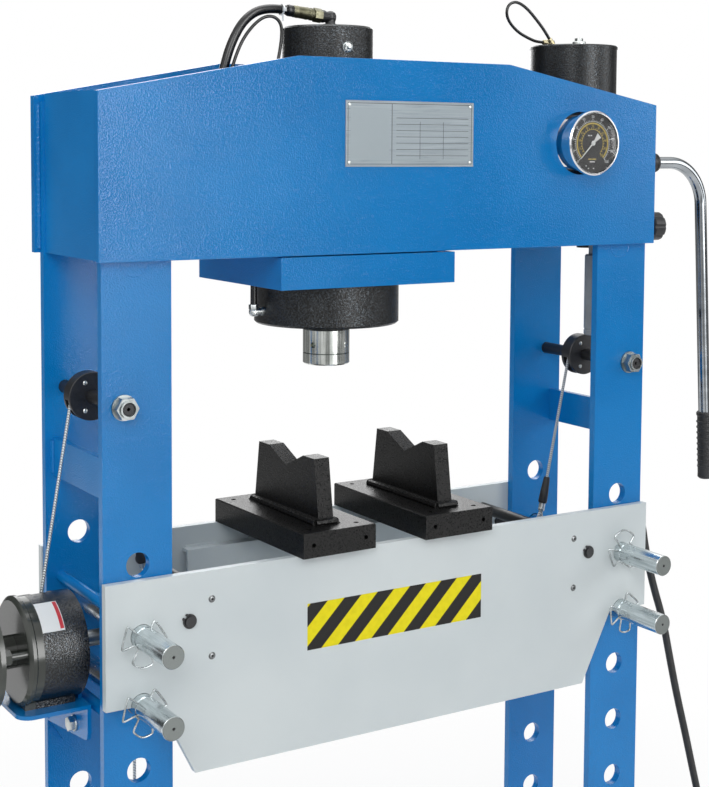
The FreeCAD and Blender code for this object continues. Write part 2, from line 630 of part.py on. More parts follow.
def make_tank():
    axis = Vector(TANK_X, TANK_Y, 0)
    wall = 3.0
    can = [(TANK_BOTTOM, 0), (TANK_BOTTOM, TANK_RADIUS - 1), (TANK_TOP - 6, TANK_RADIUS - 1),
           (TANK_TOP - 6, TANK_RADIUS - 1 - wall), (TANK_BOTTOM + wall, TANK_RADIUS - 1 - wall),
           (TANK_BOTTOM + wall, 0)]
    save("oil_tank", turned(can, axis, ALONG_Z))
    lid = [(TANK_TOP, 0), (TANK_TOP, TANK_RADIUS - 2), (TANK_TOP - 2, TANK_RADIUS),
           (TANK_TOP - 6, TANK_RADIUS), (TANK_TOP - 6, 0)]
    cover = turned(lid, axis, ALONG_Z)
    plug_at = axis + Vector(12, 0, TANK_TOP)
    plug = hexagon(plug_at, ALONG_Z, 19, 8).fuse(rod(plug_at, ALONG_Z, 14, 2))
    out_dir = Vector(-0.6, 0, 0.8)
    first = Vector(*BREATHER_ROUTE[0])
    last = Vector(*BREATHER_ROUTE[-1])
    barbs = [rod(first - out_dir * 9, out_dir, 3.6, 9), rod(last, ALONG_X, 3.6, 18),
             rod(Vector(last.x + 14, last.y, TANK_TOP - 1), ALONG_Z, 4.6, last.z - TANK_TOP + 5)]
    save("tank_lid", cover.fuse([plug] + barbs))
    save("breather_hose", tube("breather_hose", points_of(BREATHER_ROUTE), 2.6))


def make_pump():
    """Cast pump body under the tank with the valve barrel, lever lugs and the lever's pin."""
    body = block(404, 512, -90, 78, PUMP_BOTTOM, PUMP_SHOULDER)
    edges = [e for e in body.Edges if e.BoundBox.ZMin > PUMP_SHOULDER - 5 or e.BoundBox.ZLength > 50]
    body = body.makeFillet(6, edges)
    tower = rod(Vector(TANK_X, TANK_Y, PUMP_SHOULDER), ALONG_Z, TOWER_RADIUS, TANK_BOTTOM - PUMP_SHOULDER)
    head = block(440, 509, -32, 32, PUMP_SHOULDER, 1650)
    lugs = []
    for sign in (-1, 1):
        y0, y1 = sorted((sign * LUG_INNER_Y, sign * LUG_OUTER_Y))
        ear = block(508, HANDLE_PIVOT_X, y0, y1, HANDLE_HEIGHT - 15, HANDLE_HEIGHT + 15)
        lugs.append(ear.fuse(rod(Vector(HANDLE_PIVOT_X, y0, HANDLE_HEIGHT), ALONG_Y, 15, y1 - y0)))
    barrel = rod(Vector(505, 0, RELEASE_HEIGHT), ALONG_X, BARREL_RADIUS, 65)
    barrel = barrel.cut(block(505, 575, -21, 21, RELEASE_HEIGHT - 21, PUMP_BOTTOM - 14))
    boss = rod(Vector(463, -8, 1472), ALONG_Z, 15, PUMP_BOTTOM - 1472)
    pin = rod(Vector(HANDLE_PIVOT_X, -30, HANDLE_HEIGHT), ALONG_Y, LEVER_PIN_RADIUS, 60)
    ports = []
    for port in (GAUGE_PORT, HOSE_PORT, RETURN_PORT):
        face = Vector(*port)
        middle = Vector(TANK_X, TANK_Y, face.z)
        ports.append(rod(face, middle - face, 9, (middle - face).Length - 30))
    whole = body.fuse([tower, head, barrel, boss, pin] + lugs + ports)
    save("pump_body", whole.cut(rod(Vector(552, 0, RELEASE_HEIGHT), ALONG_X, 5.06, 20)))
    stem = [(553, 0), (553, 5), (KNOB_START_X, 5), (KNOB_START_X, KNOB_RADIUS - 2),
            (KNOB_START_X + 2, KNOB_RADIUS), (KNOB_END_X - 2, KNOB_RADIUS), (KNOB_END_X, KNOB_RADIUS - 2),
            (KNOB_END_X, 0)]
    knob = turned(stem, Vector(0, 0, RELEASE_HEIGHT), ALONG_X)
    for i in range(KNOB_FLUTES):
        angle = 2 * math.pi * i / KNOB_FLUTES
        flute = Vector(KNOB_START_X - 1, (KNOB_RADIUS + 2) * math.cos(angle),
                       RELEASE_HEIGHT + (KNOB_RADIUS + 2) * math.sin(angle))
        knob = knob.cut(rod(flute, ALONG_X, 5, KNOB_END_X - KNOB_START_X + 2))
    save("release_knob", knob)


def make_handle():
    """Socket with an eye on the pin, chromed tube bent down, and a rubber grip."""
    eye = ring(Vector(HANDLE_PIVOT_X, -14, HANDLE_HEIGHT), ALONG_Y, 17, LEVER_PIN_HOLE, 28)
    sleeve_at = Vector(HANDLE_PIVOT_X + 18, 0, HANDLE_HEIGHT)
    sleeve = rod(sleeve_at, ALONG_X, SOCKET_RADIUS, SOCKET_END_X - sleeve_at.x)
    tongue = block(HANDLE_PIVOT_X, HANDLE_PIVOT_X + 19, -14, 14, HANDLE_HEIGHT - 14, HANDLE_HEIGHT + 14)
    lip = rod(Vector(SOCKET_END_X - 4, 0, HANDLE_HEIGHT), ALONG_X, SOCKET_RADIUS + 0.6, 4)
    tube_start = Vector(HANDLE_PIVOT_X + SOCKET_INSET, 0, HANDLE_HEIGHT)
    bore = rod(tube_start, ALONG_X, HANDLE_TUBE_RADIUS, 200)
    pin_hole = rod(Vector(HANDLE_PIVOT_X, -20, HANDLE_HEIGHT), ALONG_Y, LEVER_PIN_HOLE, 40)
    save("handle_socket", eye.fuse([tongue, sleeve, lip]).cut(bore).cut(pin_hole))
    route = [tube_start, Vector(HANDLE_CORNER_X, 0, HANDLE_HEIGHT),
             Vector(HANDLE_FOOT_X, 0, HANDLE_FOOT_Z + 3)]
    save("handle_tube", tube("handle_tube", route, HANDLE_TUBE_RADIUS, HANDLE_BEND, None))
    down = (route[2] - route[1]).normalize()
    foot = route[2] + down * 3
    start = route[2] - down * GRIP_LENGTH
    end = GRIP_LENGTH + 3
    grip = [(0, HANDLE_TUBE_RADIUS), (0, GRIP_RADIUS - 1.5), (2, GRIP_RADIUS), (6, GRIP_RADIUS),
            (9, GRIP_RADIUS - 1.5), (GRIP_LENGTH - 8, GRIP_RADIUS - 0.5), (GRIP_LENGTH, GRIP_RADIUS),
            (end, GRIP_RADIUS - 3), (end, 0), (GRIP_LENGTH, 0), (GRIP_LENGTH, HANDLE_TUBE_RADIUS)]
    save("handle_grip", turned(grip, start, foot - start))


AIR_HOSE_ROUTE = (
    (449.5, -58, 1294), (449.5, -58, 1225), (456, -58, 1160), (482, -58, 1098), (526, -57, 1047),
    (563, -57, 987), (577, -57, 915), (597, -57, 850), (622, -57, 785), (641, -57, 710), (661, -57, 635),
    (684, -57, 560), (704, -57, 490), (724, -56, 425), (742, -55, 352), (755, -53, 275), (763, -50, 195),
    (770, -42, 118), (778, -14, 42), (783, 50, 7), (770, 135, 7), (738, 215, 7), (715, 285, 7))


def make_air_side():
    """Air motor under the pump, its hose down the right column to the floor, and the coupling."""
    axis = Vector(MOTOR_X, MOTOR_Y, 0)
    rim = MOTOR_BOTTOM + 9
    motor = [(PUMP_BOTTOM, 0), (PUMP_BOTTOM, MOTOR_NECK_RADIUS), (MOTOR_TOP, MOTOR_NECK_RADIUS),
             (MOTOR_TOP, MOTOR_RADIUS - 2), (MOTOR_TOP - 2, MOTOR_RADIUS), (rim + 3, MOTOR_RADIUS),
             (rim + 3, MOTOR_RADIUS - 1.2), (rim, MOTOR_RADIUS - 1.2), (rim, MOTOR_RADIUS),
             (MOTOR_BOTTOM + 2, MOTOR_RADIUS), (MOTOR_BOTTOM, MOTOR_RADIUS - 2), (MOTOR_BOTTOM, 9),
             (GLAND_BOTTOM + 3, 9), (GLAND_BOTTOM, 7.5), (GLAND_BOTTOM, 0)]
    save("air_motor", turned(motor, axis, ALONG_Z))
    route = points_of(AIR_HOSE_ROUTE)
    save("air_hose", tube("air_hose", route, AIR_HOSE_RADIUS))
    end = route[-1]
    way = (route[-1] - route[-2]).normalize()
    coupling = [(0, 0), (0, 6.4), (16, 6.4), (18, 5.5), (22, 5.5), (23, 4.5), (34, 4.5), (36, 3), (36, 0)]
    save("air_coupling", turned(coupling, end, way))


# ---------------------------------------------------------------- bed
def make_bed():
    """Two side plates that sit on the lower pins, ledges along their insides, and spacers."""
    outline = [(-BED_HALF_LENGTH, BED_TOP), (BED_HALF_LENGTH, BED_TOP), (BED_HALF_LENGTH, BED_EAR_BOTTOM),
               (BED_SLANT_TOP_X, BED_EAR_BOTTOM), (BED_SLANT_BOTTOM_X, BED_BOTTOM),
               (-BED_SLANT_BOTTOM_X, BED_BOTTOM), (-BED_SLANT_TOP_X, BED_EAR_BOTTOM),
               (-BED_HALF_LENGTH, BED_EAR_BOTTOM)]
    ledges = []
    for name, sign in (("front", -1), ("rear", 1)):
        y0, y1 = sorted((sign * BED_INNER_Y, sign * BED_OUTER_Y))
        plate = plate_across(outline, y0, y1)
        for side in SIDES.values():
            for z in (PIN_UPPER_Z, PIN_LOWER_Z):
                hole = Vector(side * COLUMN_X, y0 - 1, z)
                plate = plate.cut(rod(hole, ALONG_Y, HOLE_RADIUS - 0.5, BED_PLATE + 2))
            axle = Vector(side * BED_AXLE_X, y0 - 1, BED_AXLE_Z)
            plate = plate.cut(rod(axle, ALONG_Y, BED_AXLE_RADIUS, BED_PLATE + 2))
        save("bed_" + name + "_plate", plate)
        y_wall = sign * (BED_INNER_Y - LEDGE_DEPTH)
        outer = block(-LEDGE_HALF_LENGTH, LEDGE_HALF_LENGTH, *sorted((y_wall, sign * BED_INNER_Y)),
                      LEDGE_TOP - LEDGE_HEIGHT, LEDGE_TOP)
        y_in = sign * (BED_INNER_Y - LEDGE_DEPTH + LEDGE_WALL)
        y0, y1 = sorted((y_in, sign * (BED_INNER_Y + 1)))
        inner = block(-LEDGE_HALF_LENGTH - 1, LEDGE_HALF_LENGTH + 1, y0, y1,
                      LEDGE_TOP - LEDGE_HEIGHT + LEDGE_WALL, LEDGE_TOP - LEDGE_WALL)
        ledges.append(outer.cut(inner))
    spacers = [rod(Vector(x, -BED_INNER_Y, z), ALONG_Y, SPACER_RADIUS, 2 * BED_INNER_Y)
               for x, z in SPACER_PLACES]
    save("bed_ledges", group(ledges + spacers))


def make_bed_axles():
    """Rope anchor axles through the bed, each held by a snap ring in a groove at both ends."""
    axles = []
    for side in SIDES.values():
        reach = BED_OUTER_Y + 5
        profile = [(-reach, 0), (-reach, BED_AXLE_RADIUS), (reach, BED_AXLE_RADIUS), (reach, 0)]
        axle = turned(profile, Vector(side * BED_AXLE_X, 0, BED_AXLE_Z), ALONG_Y)
        for sign in (-1, 1):
            near = sign * (BED_OUTER_Y + 0.2)
            at = Vector(side * BED_AXLE_X, min(near, near + sign * SNAP_RING_WIDTH), BED_AXLE_Z)
            floor = BED_AXLE_RADIUS - 0.9
            axle = axle.cut(ring(at, ALONG_Y, BED_AXLE_RADIUS + 1, floor, SNAP_RING_WIDTH))
            snap = ring(at, ALONG_Y, BED_AXLE_RADIUS + SNAP_RING_PROUD, floor, SNAP_RING_WIDTH)
            for ear in (115, 155):
                snap = snap.fuse(rod(at + around_y(BED_AXLE_RADIUS + 2, ear), ALONG_Y, 2.6, SNAP_RING_WIDTH))
            gap = at + around_y(BED_AXLE_RADIUS + 2, 135) - ALONG_Y
            axle = axle.fuse(snap.cut(rod(gap, ALONG_Y, 2.0, SNAP_RING_WIDTH + 2)))
        axles.append(axle)
    save("bed_axles", group(axles))


# ---------------------------------------------------------------- bed pins
def clip_wire(lobe_angles, y):
    """Spring wire in the pin's groove: three fan-shaped lobes joined by stretches in the groove.
    The wire is six-sided and mitred at its corners."""
    spots = []
    for centre in lobe_angles:
        for radius, turn in ((CLIP_INNER, -34), (CLIP_OUTER, -32), (CLIP_OUTER, -11), (CLIP_OUTER, 11),
                             (CLIP_OUTER, 32), (CLIP_INNER, 34), (CLIP_INNER + 0.4, 60)):
            spots.append(around_y(radius, centre + turn) + Vector(0, y, 0))
    spots.pop()
    section = many_sided(CLIP_WIRE, 6, spots[0], spots[1] - spots[0])
    shell = Part.BRepOffsetAPI.MakePipeShell(Part.makePolygon(spots))
    shell.setTransitionMode(1)
    shell.add(section)
    shell.build()
    shell.makeSolid()
    return shell.shape()


PINS = {
    "pin_upper_left": (-1, PIN_UPPER_Z, (36, 168, 276)),
    "pin_lower_left": (-1, PIN_LOWER_Z, (36, 170, 274)),
    "pin_upper_right": (1, PIN_UPPER_Z, (86, 198, 318)),
    "pin_lower_right": (1, PIN_LOWER_Z, (45, 172, 290)),
}


def make_pins():
    front = -BED_OUTER_Y - PIN_FRONT
    back = BED_OUTER_Y + PIN_BACK
    groove_y = -BED_OUTER_Y - CLIP_SETBACK
    for name, (side, z, lobes) in PINS.items():
        profile = [(front, 0), (front, PIN_RADIUS - PIN_CHAMFER), (front + PIN_CHAMFER, PIN_RADIUS),
                   (groove_y - 2, PIN_RADIUS), (groove_y - 2, PIN_RADIUS - PIN_GROOVE),
                   (groove_y + 2, PIN_RADIUS - PIN_GROOVE), (groove_y + 2, PIN_RADIUS),
                   (back - 5, PIN_RADIUS), (back, PIN_RADIUS - 4), (back, 0)]
        pin = turned(profile, Vector(0, 0, 0), ALONG_Y)
        pin = pin.cut(rod(Vector(0, front - 1, 0), ALONG_Y, 2, 5))
        pin = pin.fuse(clip_wire(lobes, groove_y))
        pin.translate(Vector(side * COLUMN_X, 0, z))
        save(name, pin)


# ---------------------------------------------------------------- pulleys and rope
def make_pulleys():
    """Grooved wheels in slotted covers on long bolts between front and rear uprights, and two
    wheels in the base."""
    bolts = []
    nuts = []
    nut_end = HALF_DEPTH + WASHER_THICKNESS + NUT_LENGTH + NUT_COLLAR
    for side, sign in SIDES.items():
        axis = Vector(sign * PULLEY_X, 0, PULLEY_Z)
        bore = PULLEY_AXLE_RADIUS + 0.08
        edge = PULLEY_HALF_WIDTH
        wheel = [(-edge, bore), (-edge, PULLEY_RADIUS - 1), (1 - edge, PULLEY_RADIUS),
                 (-GROOVE_HALF_MOUTH, PULLEY_RADIUS), (-GROOVE_HALF_FLOOR, GROOVE_RADIUS),
                 (GROOVE_HALF_FLOOR, GROOVE_RADIUS), (GROOVE_HALF_MOUTH, PULLEY_RADIUS),
                 (edge - 1, PULLEY_RADIUS), (edge, PULLEY_RADIUS - 1), (edge, bore)]
        middle = axis + Vector(0, PULLEY_Y, 0)
        save("rope_pulley_" + side, turned(wheel, middle, ALONG_Y))

        half = COVER_HALF_WIDTH
        inside = COVER_RADIUS - COVER_WALL
        cover = [(-half, 0), (-half, COVER_RADIUS - 1), (1 - half, COVER_RADIUS), (half - 1, COVER_RADIUS),
                 (half, COVER_RADIUS - 1), (half, 0), (half - COVER_WALL, 0), (half - COVER_WALL, inside),
                 (COVER_WALL - half, inside), (COVER_WALL - half, 0)]
        slot = block(axis.x - COVER_RADIUS - 1, axis.x + COVER_RADIUS + 1, PULLEY_Y - COVER_SLOT_HALF,
                     PULLEY_Y + COVER_SLOT_HALF, PULLEY_Z - COVER_RADIUS - 1, PULLEY_Z - 4)
        shank = rod(axis + Vector(0, 3 - nut_end, 0), ALONG_Y, PULLEY_AXLE_RADIUS, 2 * nut_end - 6)
        bolts.append(turned(cover, middle, ALONG_Y).cut(slot).fuse(shank))
        for outward in (-1, 1):
            seat = axis + ALONG_Y * (outward * HALF_DEPTH)
            away = ALONG_Y * outward
            head = seat + away * WASHER_THICKNESS
            nut = rod(seat, away, WASHER_RADIUS, WASHER_THICKNESS).fuse(
                [hexagon(head, away, NUT_ACROSS, NUT_LENGTH),
                 rod(head + away * NUT_LENGTH, away, NUT_COLLAR_RADIUS, NUT_COLLAR)])
            nuts.append(nut.cut(rod(seat - away, away, PULLEY_AXLE_RADIUS, 40)))

        wheel_x, wheel_y = BASE_PULLEYS[side]
        rim = BASE_GROOVE_RADIUS + BASE_RIM
        edge = BASE_HALF_WIDTH
        spindle = [(-BASE_CHEEK_OUTER, 0), (-BASE_CHEEK_OUTER, BASE_SPINDLE_RADIUS),
                   (-edge, BASE_SPINDLE_RADIUS), (-edge, rim), (-5, rim), (-2.8, BASE_GROOVE_RADIUS),
                   (2.8, BASE_GROOVE_RADIUS), (5, rim), (edge, rim), (edge, BASE_SPINDLE_RADIUS),
                   (BASE_CHEEK_OUTER, BASE_SPINDLE_RADIUS), (BASE_CHEEK_OUTER, 0)]
        save("base_pulley_" + side, turned(spindle, Vector(wheel_x, wheel_y, BASE_PULLEY_Z), ALONG_Y))
    save("pulley_bolts", group(bolts))
    save("pulley_nuts", group(nuts))


def tangent_corner(centre_x, point, side):
    """The corner of a rope's path where its slanting run, tangent to a pulley, meets the level
    line over the pulley's top."""
    dx = point[0] - centre_x
    dz = point[1] - PULLEY_Z
    angle = math.atan2(dz, dx) + side * math.acos(ROPE_OFFSET / math.hypot(dx, dz))
    touch_x = centre_x + ROPE_OFFSET * math.cos(angle)
    touch_z = PULLEY_Z + ROPE_OFFSET * math.sin(angle)
    slope = (touch_x - point[0]) / (touch_z - point[1])
    top = PULLEY_Z + ROPE_OFFSET
    return Vector(point[0] + slope * (top - point[1]), PULLEY_Y, top)


def eye_end(x, up):
    """Ferrule, rubber sleeve and the loop of rope round the bed's axle."""
    centre = Vector(x, PULLEY_Y, BED_AXLE_Z)
    loop_radius = BED_AXLE_RADIUS + 0.4 + ROPE_RADIUS
    section = Part.Face(many_sided(ROPE_RADIUS, ROPE_SIDES, centre + Vector(loop_radius, 0, 0), ALONG_Z))
    loop = section.revolve(centre, ALONG_Y, 360)
    strands = []
    across = Vector(up.z, 0, -up.x)
    for sign in (-1, 1):
        start = centre + across * (sign * loop_radius * 0.93) + up * (loop_radius * 0.36)
        way = centre + up * EYE_MEET - start
        strand = Part.Face(many_sided(ROPE_RADIUS * 0.98, ROPE_SIDES, start, way))
        strands.append(strand.extrude(way))
    ferrule = rod(centre + up * FERRULE_START, up, 5.2, SLEEVE_START - FERRULE_START)
    sleeve = turned([(0, 2.6), (0, 7.0), (2, 7.6), (40, 5.6), (46, 4.6), (46, 2.6)],
                    centre + up * SLEEVE_START, up)
    return loop.fuse(strands + [ferrule, sleeve])


def make_ropes():
    """The left rope goes from the winch over the left pulley to the bed. The right rope goes from
    the bed over the right pulley, down the column, through the base and up to the winch."""
    for side, sign in SIDES.items():
        eye = Vector(sign * BED_AXLE_X, PULLEY_Y, BED_AXLE_Z)
        inner = tangent_corner(sign * PULLEY_X, (eye.x, eye.z), -sign)
        up = (inner - eye).normalize()
        start = eye + up * (SLEEVE_START - 2)
        if side == "left":
            outer = tangent_corner(-PULLEY_X, (WINCH_ROPE_X, WINCH_Z), -1)
            route = [start, inner, outer, Vector(WINCH_ROPE_X, DRUM_ROPE_Y, WINCH_Z)]
            rope = tube("rope_left", route, ROPE_RADIUS, ROPE_OFFSET, ROPE_SIDES)
        else:
            fall_x = PULLEY_X + ROPE_OFFSET
            joint = Vector(fall_x, PULLEY_Y, BASE_PULLEY_Z + 2)
            floor_z = BASE_PULLEY_Z - BASE_ROPE_OFFSET
            route = [start, inner, Vector(fall_x, PULLEY_Y, PULLEY_Z + ROPE_OFFSET), joint]
            upper = tube("rope_right upper", route, ROPE_RADIUS, ROPE_OFFSET, ROPE_SIDES)
            low = [joint, Vector(fall_x, PULLEY_Y, floor_z), Vector(ROPE_DROP_X, -DRUM_ROPE_Y, floor_z),
                   Vector(ROPE_DROP_X, -DRUM_ROPE_Y, WINCH_Z)]
            rope = upper.fuse(tube("rope_right lower", low, ROPE_RADIUS, BASE_ROPE_OFFSET, ROPE_SIDES))
        save("rope_" + side, rope.fuse(eye_end(eye.x, up)))


# ---------------------------------------------------------------- winch
def make_winch():
    """Cup-shaped housing with its gear cover, a shaft with a rope drum in the housing and one in
    the column, and the crank."""
    axis = Vector(0, 0, WINCH_Z)
    lip = WINCH_OUTER_X
    body = WINCH_RADIUS - 2
    bore = WINCH_RADIUS - 2 - WINCH_WALL
    hub = 20
    casing = [(lip - 3, hub), (lip - 3, bore), (lip, body), (lip + 2, WINCH_RADIUS), (lip + 7, WINCH_RADIUS),
              (lip + 9, body), (WINCH_INNER_X, body), (WINCH_INNER_X, bore), (lip + 3, bore), (lip + 3, hub)]
    shell = turned(casing, axis, ALONG_X)
    slot = block(WINCH_ROPE_X - 11, WINCH_ROPE_X + 21, DRUM_ROPE_Y - 20, DRUM_ROPE_Y + 16,
                 WINCH_Z + 40, WINCH_Z + 100)
    saddle = block(lip + 4, WINCH_INNER_X - 6, -34, 34, WINCH_Z - WINCH_RADIUS, WINCH_Z - WINCH_RADIUS + 18)
    saddle = saddle.cut(rod(Vector(lip - 8, 0, WINCH_Z), ALONG_X, bore + 2, 120))
    shaft_hole = SHAFT_RADIUS + 0.07
    gear = [(COVER_OUTER_X, shaft_hole), (COVER_OUTER_X, WINCH_RADIUS - 8), (COVER_OUTER_X + 5, body - 1),
            (COVER_INNER_X, body - 1), (COVER_INNER_X, hub + 4), (lip - 2, hub + 4), (lip - 2, shaft_hole)]
    stay = Vector(COVER_INNER_X - 1, -64, WINCH_Z + 14)
    stays = [rod(stay, ALONG_X, 5, lip - COVER_INNER_X), hexagon(stay + ALONG_X, ALONG_X, 19, 9)]
    save("winch_casing", shell.cut(slot).fuse([saddle, turned(gear, axis, ALONG_X)] + stays))

    left0, left1 = DRUM_LEFT_X
    right0, right1 = DRUM_RIGHT_X
    drum = [(SHAFT_END_X, 0), (SHAFT_END_X, SHAFT_RADIUS), (left0 - 4, SHAFT_RADIUS),
            (left0 - 4, DRUM_FLANGE), (left0, DRUM_FLANGE), (left0, DRUM_RADIUS), (left1, DRUM_RADIUS),
            (left1, DRUM_FLANGE), (left1 + 3, DRUM_FLANGE), (left1 + 3, INNER_SHAFT_RADIUS),
            (right0 - 2, INNER_SHAFT_RADIUS), (right0 - 2, INNER_FLANGE), (right0, INNER_FLANGE),
            (right0, DRUM_RADIUS), (right1, DRUM_RADIUS), (right1, INNER_FLANGE),
            (right1 + 2, INNER_FLANGE), (right1 + 2, 0)]
    save("winch_drum", turned(drum, axis, ALONG_X))

    arm_x = SHAFT_END_X - CRANK_ARM_THICKNESS
    low = WINCH_Z - CRANK_ARM
    arm = block(arm_x, SHAFT_END_X, -CRANK_HALF_WIDTH, CRANK_HALF_WIDTH, low, WINCH_Z)
    arm = arm.fuse([rod(Vector(arm_x - 4, 0, WINCH_Z), ALONG_X, 16, CRANK_ARM_THICKNESS + 4),
                    rod(Vector(arm_x, 0, low), ALONG_X, CRANK_HALF_WIDTH, CRANK_ARM_THICKNESS),
                    rod(Vector(CRANK_END_X, 0, low), ALONG_X, 5, arm_x - CRANK_END_X + 4),
                    rod(Vector(CRANK_END_X, 0, low), ALONG_X, 8, 4),
                    hexagon(Vector(arm_x - 16, 0, WINCH_Z), ALONG_X, 19, 12)])
    save("winch_crank", arm)
    x0 = CRANK_END_X + 6
    x1 = arm_x - 6
    grip = [(x0, 5.08), (x0, 10), (x0 + 4, 13), (x0 + 38, 14.5), (x1 - 18, 13), (x1 - 4, 11), (x1, 9),
            (x1, 5.08)]
    save("crank_grip", turned(grip, Vector(0, 0, low), ALONG_X))
    make_winch_bracket()


def make_winch_bracket():
    """Shelf with rounded corners under the winch, a bolted web below it, a flange against the
    rear upright, and the bearing of the winch's shaft."""
    top = WINCH_Z - WINCH_RADIUS
    under = top - SHELF_THICKNESS
    x0 = WEB_X
    x1 = x0 + BRACKET_PLATE
    shelf = block(SHELF_OUTER_X, x1, SHELF_FRONT, INNER_DEPTH, under, top)
    corners = [e for e in shelf.Edges if e.BoundBox.XMax < SHELF_OUTER_X + 1 and e.BoundBox.ZLength > 1]
    shelf = shelf.makeFillet(SHELF_CORNER, corners)
    flange = plate_across([(-545, under + 1), (-420, under + 1), (-420, top - 112), (-478, top - 112)],
                          INNER_DEPTH - BRACKET_PLATE, INNER_DEPTH)
    outline = [(SHELF_FRONT, under + 1), (INNER_DEPTH, under + 1), (INNER_DEPTH, top - WEB_DROP_BACK),
               (SHELF_FRONT + 12, top - WEB_DROP_FRONT), (SHELF_FRONT + 3, top - WEB_DROP_FRONT + 3),
               (SHELF_FRONT, top - WEB_DROP_FRONT + 12)]
    web = polygon_face([Vector(x0, y, z) for y, z in outline]).extrude(Vector(BRACKET_PLATE, 0, 0))
    shaft = Vector(x0, 0, WINCH_Z)
    bearing = block(x0, x1, -BEARING_RADIUS, BEARING_RADIUS, top - 1, WINCH_Z)
    bearing = bearing.fuse(rod(shaft, ALONG_X, BEARING_RADIUS, BRACKET_PLATE))
    bolt = Vector(x0 - 11, -8, top - 42)
    bolts = [hexagon(bolt, ALONG_X, 19, 8), rod(bolt + ALONG_X * 8, ALONG_X, 11.5, 3)]
    whole = shelf.fuse([flange, web, bearing] + bolts)
    bore = rod(shaft - ALONG_X, ALONG_X, INNER_SHAFT_RADIUS + 0.06, BRACKET_PLATE + 2)
    save("winch_bracket", whole.cut(bore))


# ---------------------------------------------------------------- V-blocks
def make_vblocks():
    """A base with a notched plate welded across it; the weld bead runs round the foot."""
    for side, x in VBLOCK_CENTRES_X.items():
        half_w = VBLOCK_WIDTH / 2
        half_d = VBLOCK_DEPTH / 2
        base = block(-half_w, half_w, -half_d, half_d, 0, VBLOCK_THICKNESS)
        top_edges = [e for e in base.Edges if e.BoundBox.ZMin > VBLOCK_THICKNESS - 1]
        base = base.makeChamfer(1.5, top_edges)
        for sx in (-1, 1):
            for sy in (-1, 1):
                hole = Vector(sx * (half_w - 22), sy * (half_d - 22), VBLOCK_THICKNESS - 16)
                base = base.cut(rod(hole, ALONG_Z, 4.2, 20))
            thread = Vector(sx * (half_w - 18), -half_d - 1, VBLOCK_THICKNESS / 2)
            base = base.cut(rod(thread, ALONG_Y, 3.4, 16))
        z0 = VBLOCK_THICKNESS
        outline = [(-VEE_FOOT / 2, z0), (VEE_FOOT / 2, z0), (VEE_TOP / 2, z0 + VEE_HEIGHT),
                   (VEE_NOTCH_WIDTH / 2, z0 + VEE_HEIGHT), (0, z0 + VEE_HEIGHT - VEE_NOTCH_DEPTH),
                   (-VEE_NOTCH_WIDTH / 2, z0 + VEE_HEIGHT), (-VEE_TOP / 2, z0 + VEE_HEIGHT)]
        face = polygon_face([Vector(-VEE_THICKNESS / 2, y, z) for y, z in outline])
        vee = face.extrude(Vector(VEE_THICKNESS, 0, 0))
        wires = []
        for grow, z in ((8, z0), (0, z0 + 9)):
            a = VEE_THICKNESS / 2 + grow
            b = VEE_FOOT / 2 + grow
            foot = [Vector(-a, -b, z), Vector(a, -b, z), Vector(a, b, z), Vector(-a, b, z)]
            wires.append(Part.makePolygon(foot + foot[:1]))
        bead = Part.makeLoft(wires, True)
        whole = base.fuse([vee, bead])
        whole.rotate(Vector(0, 0, 0), ALONG_Z, VBLOCK_TURN_DEG[side])
        whole.translate(Vector(x, VBLOCK_CENTRE_Y, BED_TOP))
        save("v_block_" + side, whole)


make_uprights()
make_ties()
make_base()
make_crosshead()
make_rating_plate()
make_gauge()
make_carriage()
make_cylinder()
make_hydraulic_line()
make_tank()
make_pump()
make_handle()
make_air_side()
make_bed()
make_bed_axles()
make_pins()
make_pulleys()
make_ropes()
make_winch()
make_vblocks()
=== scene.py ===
import math
import bpy
import bmesh
from mathutils import Matrix, Vector


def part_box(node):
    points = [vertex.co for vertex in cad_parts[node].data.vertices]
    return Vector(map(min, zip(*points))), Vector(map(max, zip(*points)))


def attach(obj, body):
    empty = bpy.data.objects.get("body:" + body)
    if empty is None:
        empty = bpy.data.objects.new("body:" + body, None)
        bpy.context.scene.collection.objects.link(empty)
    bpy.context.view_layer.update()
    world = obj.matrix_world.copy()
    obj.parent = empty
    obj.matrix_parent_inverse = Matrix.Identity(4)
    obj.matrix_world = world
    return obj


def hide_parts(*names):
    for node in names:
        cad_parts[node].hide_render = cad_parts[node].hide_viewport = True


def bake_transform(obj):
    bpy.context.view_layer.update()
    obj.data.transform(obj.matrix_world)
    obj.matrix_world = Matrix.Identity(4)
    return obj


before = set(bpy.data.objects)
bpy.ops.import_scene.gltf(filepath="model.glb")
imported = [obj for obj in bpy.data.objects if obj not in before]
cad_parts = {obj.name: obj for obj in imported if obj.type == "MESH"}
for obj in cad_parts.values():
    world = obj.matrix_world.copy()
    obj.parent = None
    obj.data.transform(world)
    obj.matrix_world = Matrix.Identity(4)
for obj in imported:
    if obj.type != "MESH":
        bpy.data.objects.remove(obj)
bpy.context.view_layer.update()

MM = 0.001
PRINT_DEPTH = 0.12
DIMPLES = 560   # the scales of the hammered enamel's dimples and metal flecks
FLECKS = 430
ALONG_X = Vector((1, 0, 0))
ALONG_Y = Vector((0, 1, 0))
ALONG_Z = Vector((0, 0, 1))


def at(x, y, z):
    return Vector((x, y, z))


def placed(name, data):
    """An object in the scene for a mesh, a curve, a lamp or the camera."""
    piece = bpy.data.objects.new(name, data)
    bpy.context.scene.collection.objects.link(piece)
    return piece


# ---- sizes read from the frame
def low(node):
    """The lowest corner of a node's box, in millimetres."""
    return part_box(node)[0] / MM


def high(node):
    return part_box(node)[1] / MM


def middle(node):
    return (low(node) + high(node)) / 2


